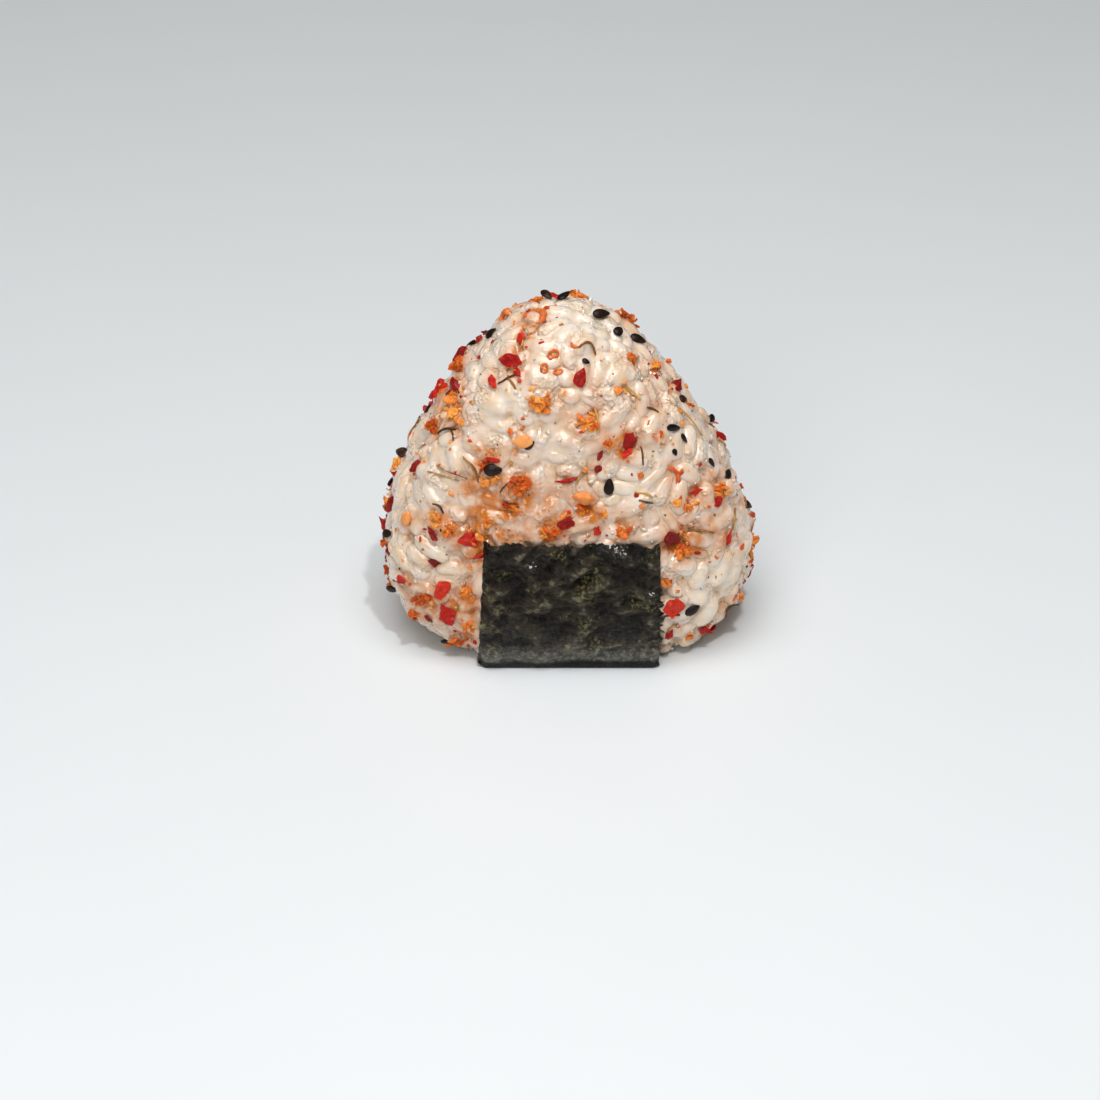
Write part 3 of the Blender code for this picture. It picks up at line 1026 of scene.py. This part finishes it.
def ring_shape(long, wide, rng):
    """A thin dried slice: a ring with an uneven rim."""
    turns = np.linspace(0, 2 * math.pi, 20, endpoint=False)
    radius = (long - wide) / 2 * (1 + 0.20 * np.cos(turns * 2 + rng.uniform(0, 6)))
    path = np.stack((np.cos(turns) * radius, np.sin(turns) * radius * 0.85,
                     0.12 * np.cos(turns * 3)), 1)
    return tube(path, wide / 2 * (1 + 0.35 * rng.uniform(-1, 1, 20)), 7, closed=True)


# ---- stage -------------------------------------------------------------------------

class ONIGIRI_OT_stage(bpy.types.Operator):
    """Set up the camera, the pale floor and the soft light"""

    bl_idname = "onigiri.stage"
    bl_label = "Stage"

    def execute(self, context):
        settings = context.scene.onigiri_stage
        self.add_camera(context, settings)
        self.add_floor(settings)
        self.add_light("overhead", (-0.04, -0.16, 0.72), 0.62, settings.overhead_power)
        self.add_light("front", (-0.25, -0.85, 0.60), 0.45, settings.front_power)
        self.add_light("glint", (0.10, -0.42, 0.75), 0.04, settings.glint_power)
        self.add_world(context)
        context.scene.view_settings.view_transform = 'Standard'
        return {'FINISHED'}

    def add_camera(self, context, settings):
        """Aim the camera down at the rice ball and remember where the eye is."""
        angle = settings.elevation
        ahead = Vector((0.0, math.cos(angle), -math.sin(angle)))
        up = Vector((0.0, math.sin(angle), math.cos(angle)))
        aim = up * settings.below - Vector((settings.aside, 0.0, 0.0))
        camera = bpy.data.objects.new("camera", bpy.data.cameras.new("camera"))
        camera.data.lens = settings.lens
        camera.data.sensor_width = 36.0
        camera.data.clip_start = 0.01
        camera.location = aim - ahead * settings.distance
        camera.rotation_euler = ahead.to_track_quat('-Z', 'Y').to_euler()
        context.scene.collection.objects.link(camera)
        context.scene.camera = camera
        made["eye"] = np.array(camera.location) / MM
        made["up"] = np.array(up)

    def add_floor(self, settings):
        """Make the floor, which isn't part of the object."""
        bpy.ops.mesh.primitive_plane_add(size=4.0)
        floor = bpy.context.object
        floor.name = "floor"
        floor.data.materials.append(floor_material(settings))

    def add_light(self, name, place, size, power):
        """Add a round soft light aimed at the rice ball's middle."""
        data = bpy.data.lights.new(name, 'AREA')
        data.shape = 'DISK'
        data.size = size
        data.energy = power
        light = bpy.data.objects.new(name, data)
        light.location = place
        aim = Vector((0.0, 0.0, HEIGHT * MM / 2)) - light.location
        light.rotation_euler = aim.to_track_quat('-Z', 'Y').to_euler()
        bpy.context.scene.collection.objects.link(light)

    def add_world(self, context):
        """Add the room's faint even light."""
        world = bpy.data.worlds.new("studio")
        world.use_nodes = True
        background = world.node_tree.nodes["Background"]
        background.inputs["Color"].default_value = rgba("FFFAF4")
        background.inputs["Strength"].default_value = 0.11
        context.scene.world = world


# ---- rice --------------------------------------------------------------------------

class ONIGIRI_OT_rice(bpy.types.Operator):
    """Settle the grains in the rice's space and make them, over a smaller core"""

    bl_idname = "onigiri.rice"
    bl_label = "Rice"

    SURFACE_DEPTHS = (-0.35, 0.75)
    BENEATH_DEPTHS = (1.7, 2.5)

    def execute(self, context):
        settings = context.scene.onigiri_rice
        rng = np.random.default_rng(11)
        space = RiceSpace(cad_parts["rice_body"], smoothing=6, widening=2)
        made["space"] = space
        made["plan"], made["stains"] = plan_seasoning(
            space, context.scene.onigiri_seasoning.scattered)
        length = settings.grain_length / MM
        width = settings.grain_width / MM
        footprint = length * width * math.pi / 4
        count = int(settings.crowding * space.areas.sum() / footprint)
        grains = Grains(space, (count, count), (self.SURFACE_DEPTHS, self.BENEATH_DEPTHS),
                        length, width, rng)
        grains.settle(space, 90)
        grains.keep(~under_nori(grains.centre, 3.0))
        shown = Heap()
        self.add_grains(grains, 0, "rice_grains", 4, space, rng, settings, shown)
        self.add_grains(grains, 1, "rice_grains_beneath", 2, space, rng, settings, shown)
        self.add_core(space, settings, shown)
        points, faces = shown.arrays()
        made["surface"] = BVHTree.FromPolygons(points.tolist(), faces)
        self.add_bits(space, settings, rng)
        return {'FINISHED'}

    def values(self, points, tone, space):
        """Give what the rice's material reads at each point."""
        out, _ = space.read(points)
        # Crease depth below the crowns drives the painted crease shade and also where the oil
        # collects.
        return {"tone": tone, "crease": np.clip((-out - 0.45) / 0.85, 0, 1),
                "stain": stain_at(points)}

    def add_grains(self, grains, layer, name, cuts, space, rng, settings, shown):
        """Make one layer of grains and add it to what is shown."""
        template, faces = ball_template(cuts)
        chosen = np.nonzero(grains.layer == layer)[0]
        points = grains.shapes(chosen, template, space, rng).reshape(-1, 3)
        offsets = (np.arange(len(chosen)) * len(template))[:, None, None]
        quads = (faces[None] + offsets).reshape(-1, 4)
        tone = np.repeat(rng.random(len(chosen)), len(template))
        material = rice_material("steamed_short_grain_rice_" + str(layer), settings)
        replaced = ("rice_body",) if layer == 0 else ()
        add_piece(name, points, quads, material, self.values(points, tone, space),
                  replaced)
        shown.add(points, quads, tone)

    def add_core(self, space, settings, shown):
        """Make the smaller core: sticky starch that rounds out the gaps between grains."""
        closing = settings.closing / MM
        points, faces = shown.arrays()
        tones = np.concatenate(shown.tones)
        grain_tree = BVHTree.FromPolygons(points.tolist(), faces)
        grain_tones = [tones[face[0]] for face in faces]
        heap = Heap()
        heap.add(points, faces)
        bm = bmesh.new()
        bm.from_mesh(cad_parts["rice_body"].data)
        bmesh.ops.remove_doubles(bm, verts=bm.verts[:], dist=1e-6)
        inner = np.array([vert.co for vert in bm.verts]) / MM
        out, outward = space.read(inner)
        wanted = np.where(under_nori(inner, 1.5), 0.9 + closing, 2.2)
        heap.add(inner - outward * (out + wanted)[:, None],
                 [[vert.index for vert in face.verts] for face in bm.faces])
        bm.free()
        core = working_object("core", *heap.arrays())
        push_out(core, closing)
        melt(core, 0.47)
        level = lumpy(points_of(core), 9.0, 3.0) + 0.5 * lumpy(points_of(core), 3.5, 8.0)
        push_out(core, settings.film / MM - closing + settings.film_change / MM * level)
        points = points_of(core)
        faces = [tuple(face.vertices) for face in core.data.polygons]
        bpy.data.objects.remove(core)
        near = [grain_tree.find_nearest(Vector(point)) for point in points]
        tone = [grain_tones[index] for _, _, index, _ in near]
        # A film over a grain takes the grain's look; starch that fills a gap takes the gap's.
        gap = np.clip((np.array([distance for *_, distance in near]) - 0.1) / 0.5, 0, 1)
        values = self.values(points, tone, space)
        values["crease"] *= gap
        material = rice_material("sticky_rice_starch", settings)
        add_piece("rice_core", points, faces, material, values)
        shown.add(points, faces)

    def add_bits(self, space, settings, rng):
        """Make the small wet bits of broken grain that sit on the crowns, in patches."""
        template, faces = ball_template(1)
        heap = Heap()
        for point in space.scatter(settings.broken_bits * 3, rng):
            patch = noise.noise(Vector(point) / 7.0 + Vector((4.0, 4.0, 4.0)))
            if patch < rng.uniform(-0.25, 0.45) or under_nori(point[None], 0.5)[0]:
                continue
            outward = space.read(point[None])[1][0]
            long = rng.uniform(0.5, 1.5)
            spot = Spot(point, outward, rng.uniform(0, math.pi), long, long * 0.7)
            place, axes = seat(spot, 0.0)
            shape = crumb_shape(template, long, rng)
            heap.add(shape @ axes + place, faces, rng.random())
        points, quads = heap.arrays()
        add_piece("rice_broken_bits", points, quads,
                  rice_material("broken_rice_bits", settings),
                  self.values(points, np.concatenate(heap.tones), space))


# ---- nori --------------------------------------------------------------------------

class ONIGIRI_OT_nori(bpy.types.Operator):
    """Make the crinkled nori sheet over the strip's solid"""

    bl_idname = "onigiri.nori"
    bl_label = "Nori"

    ACROSS = 110
    ALONG = 290
    LEAN = 1.4
    ABOVE = 0.8
    TUCK = 0.7
    TUCK_FROM = -18.1
    # Where the rice has wetted the sheet: across, down from its front edge, and how far.
    WET = ((8.5, 1.6, 3.0), (-6.5, 5.0, 2.0), (15.5, 11.0, 1.2))
    STARCH_BITS = 26

    def execute(self, context):
        settings = context.scene.onigiri_nori
        self.crinkle = settings.crinkle / MM
        self.lip_height = settings.lip_height / MM
        path, normals, reach = self.fold_line(settings)
        points, values = [], []
        for row in range(self.ALONG + 1):
            for column in range(self.ACROSS + 1):
                point, value = self.sheet_point(
                    row / self.ALONG, column / self.ACROSS, path, normals, reach)
                points.append(point)
                values.append(value)
        wide = self.ACROSS + 1
        faces = [(start, start + wide, start + wide + 1, start + 1)
                 for row in range(self.ALONG)
                 for start in range(row * wide, row * wide + self.ACROSS)]
        piece = add_piece("nori_sheet", np.array(points), faces, nori_material(),
                          dict(zip(("wet", "worn", "ridge", "under"), np.array(values).T)),
                          ("nori_strip",), base=0.0)
        shell = piece.modifiers.new("thickness", 'SOLIDIFY')
        shell.thickness = settings.thickness
        shell.offset = -1.0
        self.add_starch(np.array(points), np.array(values)[:, 0], context)
        return {'FINISHED'}

    def add_starch(self, points, wet, context):
        """Make the wet bits of starch that stick to the sheet where the rice touched it: clean
        white bits, partly real starch and partly painted glints on the dark sheet.
        """
        rng = np.random.default_rng(29)
        template, faces = ball_template(1)
        grid = points.reshape(self.ALONG + 1, self.ACROSS + 1, 3)
        outward = unit(np.cross(np.gradient(grid, axis=1), np.gradient(grid, axis=0)))
        share = np.where(wet > 0.6, wet ** 3, 0.0)
        chosen = rng.choice(len(points), self.STARCH_BITS, replace=False, p=share / share.sum())
        heap = Heap()
        for number in chosen:
            away = outward.reshape(-1, 3)[number]
            away = away if away[1] < 0 else -away
            along, across = tangents(away, rng.uniform(0, math.pi))
            shape = crumb_shape(template, rng.uniform(0.25, 0.9), rng) * (1.0, 0.7, 0.6)
            heap.add(shape @ np.stack((along, across, away)) + points[number], faces)
        bits, quads = heap.arrays()
        still = np.zeros(len(bits))
        add_piece("starch_bits_as_painted_glints", bits, quads,
                  rice_material("starch_bits_as_painted_glints_material", context.scene.onigiri_rice),
                  {"tone": still + 1.0, "crease": still, "stain": still})

    def fold_line(self, settings):
        """Trace the strip's outer face from the front's top, under the base, to the back's top."""
        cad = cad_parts["nori_strip"]
        tree = BVHTree.FromObject(cad, bpy.context.evaluated_depsgraph_get())
        lip_height = self.lip_height
        front = []
        for height in np.arange(NORI_HIGH[2] - 0.2, 0.1, -0.25):
            start = Vector((0.0, NORI_LOW[1] - 10.0, height)) * MM
            hit = tree.ray_cast(start, Vector((0, 1, 0)))[0]
            # The fold's edge juts out, and the sheet turns back under it to the table.
            above = math.exp(-((height - lip_height) / 2.4) ** 2)
            below = math.sqrt(min(1.0, height / lip_height))
            jut = settings.lip_reach / MM * (above if height > lip_height else 1.0)
            tuck = self.TUCK * (1 - below)
            y = min(hit.y / MM, self.TUCK_FROM) if height < lip_height else hit.y / MM
            front.append((y - jut + tuck, height))
        front.insert(0, (front[0][0], front[0][1] + self.ABOVE))
        crease = front[-1][0]
        under = [(y, 0.02) for y in np.arange(crease, -crease, 0.25)]
        line = np.array(front + under + [(-y, z) for y, z in reversed(front)])
        kernel = np.exp(-0.5 * (np.arange(-5, 6) / 1.4) ** 2)
        kernel /= kernel.sum()
        padded = np.pad(line, ((5, 5), (0, 0)), mode="reflect", reflect_type="odd")
        line = np.stack([np.convolve(padded[:, i], kernel, "valid") for i in (0, 1)], 1)
        steps = np.linalg.norm(np.diff(line, axis=0), axis=1)
        reach = np.concatenate([[0.0], np.cumsum(steps)])
        slope = unit(np.gradient(line, axis=0))
        normals = np.stack([slope[:, 1], -slope[:, 0]], 1)
        return line, normals, reach

    def sheet_point(self, along, across, path, normals, reach):
        """Give a point of the sheet, and how wet, worn, raised and tucked under it is; worn also
        marks painted sheen, raised painted highlight and shade, tucked under a painted shadow.
        """
        x = NORI_LOW[0] + (NORI_HIGH[0] - NORI_LOW[0]) * across
        torn = 0.6 * noise.noise(Vector((x / 0.5, 3.0, 0.0)))
        torn += 0.4 * noise.noise(Vector((x / 1.6, 5.0, 0.0)))
        torn += 1.1 * noise.noise(Vector((x / 6.0, 8.0, 0.0)))
        tail = 0.6 * noise.noise(Vector((x / 2.0, 0.0, 5.0)))
        place = (reach[-1] - 0.4 - tail) * along + (0.7 + torn) * (1 - along)
        y = np.interp(place, reach, path[:, 0])
        z = np.interp(place, reach, path[:, 1])
        outward_y = np.interp(place, reach, normals[:, 0])
        outward_z = np.interp(place, reach, normals[:, 1])
        front = 1.0 if y < 0 else 0.0
        height = z / NORI_HIGH[2]
        x += self.LEAN * height * (1 - across) * front
        # The right edge is frayed below its middle.
        edge = max(0.0, across - 0.93) / 0.07
        fray = math.exp(-((height - 0.40) / 0.22) ** 2)
        x += edge * fray * (0.4 + 1.6 * noise.noise(Vector((z / 0.45, 2.0, y))))
        x += 0.3 * noise.noise(Vector((place / 2.0, round(across) * 9.0, 1.0)))
        spot = Vector((x, place, 0.0))
        grains = noise.noise(spot / 4.2)
        slanted = Vector((x * 0.55 + place * 0.45, place * 0.35 - x * 0.15, 4.0))
        folds = (1 - 2.4 * abs(noise.noise(slanted / 2.6))) * (0.5 + noise.noise(spot / 7.0))
        fine = noise.noise(spot / 1.1 + Vector((5.0, 1.0, 2.0)))
        rise = max(-0.8, self.crinkle * (1.1 * grains + 0.6 * folds + 0.35 * fine) - 0.2)
        # Painted highlight and shade: the material paints the sheet paler where its lumps stand
        # high and darker in the dents.
        ridge = min(1.0, max(0.0, 0.5 + rise / 1.7))
        rise *= min(1.0, max(0.0, (z - 0.5) / 4.0))
        # The side edges turn in towards the rice, the left one most.
        rise -= 1.0 * max(0.0, 1 - across / 0.05) ** 1.5 * front
        rise -= 0.5 * max(0.0, 1 - (1 - across) / 0.04) ** 1.5
        margin = max(0.0, 1 - along * reach[-1] / 2.0)
        rise -= 0.5 * margin * (0.6 + noise.noise(Vector((x / 2.5, 1.0, 1.0))))
        wet = 0.25 * max(0.0, 1 - place / 5.0)
        for wet_x, wet_place, wet_reach in self.WET:
            gap = ((x - wet_x) / wet_reach) ** 2 + ((place - wet_place) / wet_reach * 1.5) ** 2
            wet += math.exp(-gap)
        # Paler near the fold and, more faintly, up to about 13 mm: partly real cracking and dust,
        # partly painted sheen on the lower part.
        worn = math.exp(-((z - 3.0) / 1.7) ** 2) * (0.9 + 0.7 * fine)
        worn += 0.3 * max(0.0, 1 - abs(z - 4.0) / 9.0)
        # Painted shadow: below the fold's lip the sheet is marked to be painted near black.
        under = min(1.0, max(0.0, (self.lip_height - z) * 2.5))
        if z > self.lip_height:
            # It lies over the rice, never under a grain that stands out.
            base = np.array((x, y, z))
            grain = rice_height(base, np.array((0.0, outward_y, outward_z))) + 0.15
            rise = max(rise, min(grain, 1.6))
        point = (x, y + outward_y * rise, max(0.02, z + outward_z * rise))
        return point, (min(1.0, wet), worn, ridge, under)


# ---- seasoning ---------------------------------------------------------------------

class ONIGIRI_OT_sesame(bpy.types.Operator):
    """Make the black sesame seeds"""

    bl_idname = "onigiri.sesame"
    bl_label = "Black sesame"

    def execute(self, context):
        rng = np.random.default_rng(31)
        template, faces = ball_template(4)
        heap = Heap()
        for spot in made["plan"]["sesame"]:
            # Those that lie on the crest stand proud of it.
            crest = max(0.0, spot.point[2] - (HEIGHT - 7.0)) / 7.0
            place, axes = seat(spot, 0.2 + 0.6 * crest)
            shape = seed_shape(template, spot.long, spot.wide)
            axes = leaned(place, axes, 0.6)
            heap.add(shape @ axes + place, faces, rng.uniform(0, 0.45) ** 1.5)
        heap.piece("black_sesame_seeds", sesame_material(), "black_sesame")
        return {'FINISHED'}


class ONIGIRI_OT_flakes(bpy.types.Operator):
    """Make the red flakes"""

    bl_idname = "onigiri.flakes"
    bl_label = "Red flakes"

    def execute(self, context):
        rng = np.random.default_rng(37)
        heap = Heap()
        for spot in made["plan"]["flakes"]:
            place, axes = seat(spot, rng.uniform(0.15, 0.4))
            axes = leaned(place, axes, 1.1)
            shape, faces = flake_shape(spot.long * 1.2, spot.wide * 1.35, rng)
            heap.add(shape @ axes + place, faces, rng.random())
        material = dried_material("dried_red_flake", "700602", "A81005", "CA2C0E", 0.42,
                                  (1.0, 0.25, 0.12), 1.1)
        heap.piece("red_flakes", material, "red_flake", smooth=False)
        return {'FINISHED'}


class ONIGIRI_OT_shrimp(bpy.types.Operator):
    """Make the tiny dried shrimp, the slices and the plump crumbs"""

    bl_idname = "onigiri.shrimp"
    bl_label = "Dried shrimp"

    def execute(self, context):
        rng = np.random.default_rng(41)
        template, faces = ball_template(4)
        heap = Heap()
        for spot in made["plan"]["curls"]:
            shape, quads = curl_shape(spot.long, spot.wide, rng)
            heap.add(draped(shape, spot, 0.3 * spot.wide), quads, rng.uniform(0.1, 0.6))
        for spot in made["plan"]["rings"]:
            place, axes = seat(spot, 0.1)
            shape, quads = ring_shape(spot.long, spot.wide, rng)
            heap.add(shape @ axes + place, quads, rng.uniform(0.2, 0.5))
            middle = crumb_shape(template, spot.long * 0.55, rng) * (1, 1, 0.5)
            heap.add(middle @ axes + place, faces, 0.9)
        for spot in made["plan"]["beans"]:
            place, axes = seat(spot, 0.1)
            heap.add(bean_shape(template, spot.long, spot.wide, rng) @ axes + place, faces,
                     rng.uniform(0.6, 1.0))
        material = dried_material("dried_tiny_shrimp", "BF4214", "DD7430", "EBA05A", 0.38,
                                  (1.0, 0.45, 0.18), 1.0)
        heap.piece("dried_shrimp", material, "orange_crumb")
        return {'FINISHED'}


class ONIGIRI_OT_crumbs(bpy.types.Operator):
    """Make the clusters of orange crumbs"""

    bl_idname = "onigiri.crumbs"
    bl_label = "Orange crumbs"

    def execute(self, context):
        rng = np.random.default_rng(43)
        template, faces = ball_template(2)
        heap = Heap()
        for spot in made["plan"]["crumbs"]:
            place, axes = seat(spot, 0.0)
            tone = rng.uniform(0.1, 0.9)
            for number in range(int(5 + spot.long * spot.wide * 0.7)):
                offset = rng.normal(0, 0.26, 3) * (spot.long, spot.wide, 1.2)
                shade = np.clip(tone + rng.normal(0, 0.18), 0, 1)
                if number % 2:
                    shape, quads = crumb_shape(template, rng.uniform(0.8, 1.8), rng), faces
                else:
                    shape, quads = flake_shape(*rng.uniform(0.8, 2.6, 2), rng)
                    shape = shape @ tipped(rng)
                heap.add((shape + offset) @ axes + place, quads, shade)
        material = dried_material("orange_shrimp_crumb", "B9480C", "DC7020", "F0A048", 0.5,
                                  (1.0, 0.45, 0.18), 0.8)
        heap.piece("orange_crumbs", material, "orange_crumb", smooth=False)
        return {'FINISHED'}


class ONIGIRI_OT_shreds(bpy.types.Operator):
    """Lay the herb shreds over the crowns of the rice"""

    bl_idname = "onigiri.shreds"
    bl_label = "Herb shreds"

    POINTS = 12

    def execute(self, context):
        rng = np.random.default_rng(47)
        heap = Heap()
        for spot in made["plan"]["shreds"]:
            points, faces = self.shred(spot, rng)
            heap.add(points, faces, rng.random())
        material = dried_material("dried_herb_shred", "4A2C18", "8A5A2A", "C49A58", 0.5,
                                  (1.0, 0.7, 0.4), 1.4)
        heap.piece("herb_shreds", material, "herb")
        return {'FINISHED'}

    def shred(self, spot, rng):
        """Give a thin bent stalk that follows the rice and lifts at one end."""
        along, across = tangents(spot.outward, spot.turn)
        steps = np.linspace(-1, 1, self.POINTS)
        x = steps * spot.long / 2
        y = spot.wide * (1 - steps ** 2) + 0.08 * np.sin(steps * 3 + rng.uniform(0, 6))
        base = spot.point + x[:, None] * along + y[:, None] * across
        rise = np.array([rice_height(point, spot.outward) for point in base])
        # Dry and stiff: one bend over the crowns, resting on the highest of them.
        bend = np.polyval(np.polyfit(steps, rise, 2), steps)
        rise = bend + 0.6 * (rise - bend).max()
        lifted = rng.uniform(0.0, 0.5) * np.maximum(0, steps * rng.choice((-1, 1))) ** 2
        local = np.stack((x, y, rise + 0.10 + lifted), 1)
        thick = rng.uniform(0.17, 0.30) * (1 - 0.35 * np.abs(steps))
        points, faces = tube(local, thick, 6)
        axes = np.stack((along, across, spot.outward))
        return points @ axes + spot.point, faces


class ONIGIRI_OT_specks(bpy.types.Operator):
    """Sprinkle the fine specks over everything"""

    bl_idname = "onigiri.specks"
    bl_label = "Specks"

    def execute(self, context):
        rng = np.random.default_rng(53)
        template, faces = ball_template(1)
        count = context.scene.onigiri_seasoning.specks
        kinds = (
            ("orange_specks", "orange_crumb", ("C0480F", "E57E30", "F0AE66"), 1.0, 1.5),
            ("brown_specks", "herb", ("7A5224", "B98A48", "D9B673"), 0.8, 0.8),
            ("red_specks", "red_flake", ("8C0C07", "C0260F", "DA4E26"), 0.3, 1.2),
            ("dark_specks", "herb", ("1E1612", "3A2A20", "5C4632"), 0.2, 0.55),
        )
        for name, slot, colours, share, largest in kinds:
            heap = Heap()
            for point in self.places(int(count * share), rng):
                outward = made["space"].read(point[None])[1][0]
                size = 0.25 + (largest - 0.25) * rng.random() ** 2.2
                spot = Spot(point, outward, rng.uniform(0, math.pi), size, size)
                along, across = tangents(outward, spot.turn)
                place = point + outward * (rice_height(point, outward) + size * 0.1)
                shape = crumb_shape(template, size * rng.uniform(1.0, 1.6), rng)
                heap.add(shape @ np.stack((along, across, outward)) + place, faces, rng.random())
            material = dried_material("fine_" + name, *colours, 0.45, (1.0, 0.5, 0.25), 0.5)
            heap.piece(name, material, slot, smooth=False)
        return {'FINISHED'}

    def places(self, count, rng):
        """Choose places, most of them near the larger pieces of seasoning."""
        near = [spot.point for kind in ("flakes", "crumbs", "shreds")
                for spot in made["plan"][kind]]
        chosen = []
        while len(chosen) < count:
            point = made["space"].scatter(1, rng)[0]
            close = min(np.linalg.norm(point - other) for other in near)
            if under_nori(point[None], 0.0)[0] or rng.random() > 0.25 + math.exp(-close / 2.5):
                continue
            chosen.append(point)
        return chosen


# ---- panel and registration --------------------------------------------------------

STEPS = (ONIGIRI_OT_stage, ONIGIRI_OT_rice, ONIGIRI_OT_nori, ONIGIRI_OT_sesame,
         ONIGIRI_OT_flakes, ONIGIRI_OT_shrimp, ONIGIRI_OT_crumbs, ONIGIRI_OT_shreds,
         ONIGIRI_OT_specks)


class ONIGIRI_PT_panel(bpy.types.Panel):
    """Lists the onigiri's pieces and their settings"""

    bl_idname = "ONIGIRI_PT_panel"
    bl_label = "Onigiri"
    bl_space_type = 'VIEW_3D'
    bl_region_type = 'UI'
    bl_category = "Onigiri"

    def draw(self, context):
        for step in STEPS:
            self.layout.operator(step.bl_idname)
        for name, group in SETTINGS.items():
            box = self.layout.box()
            for key in group.__annotations__:
                box.prop(getattr(context.scene, name), key)


CLASSES = (*SETTINGS.values(), *STEPS, ONIGIRI_PT_panel)


def register():
    for cls in CLASSES:
        bpy.utils.register_class(cls)
    for name, group in SETTINGS.items():
        setattr(bpy.types.Scene, name, PointerProperty(type=group))


def unregister():
    for name in SETTINGS:
        delattr(bpy.types.Scene, name)
    for cls in reversed(CLASSES):
        bpy.utils.unregister_class(cls)


def main():
    register()
    for step in STEPS:
        category, name = step.bl_idname.split(".")
        getattr(getattr(bpy.ops, category), name)()


if __name__ == "__main__":
    main()
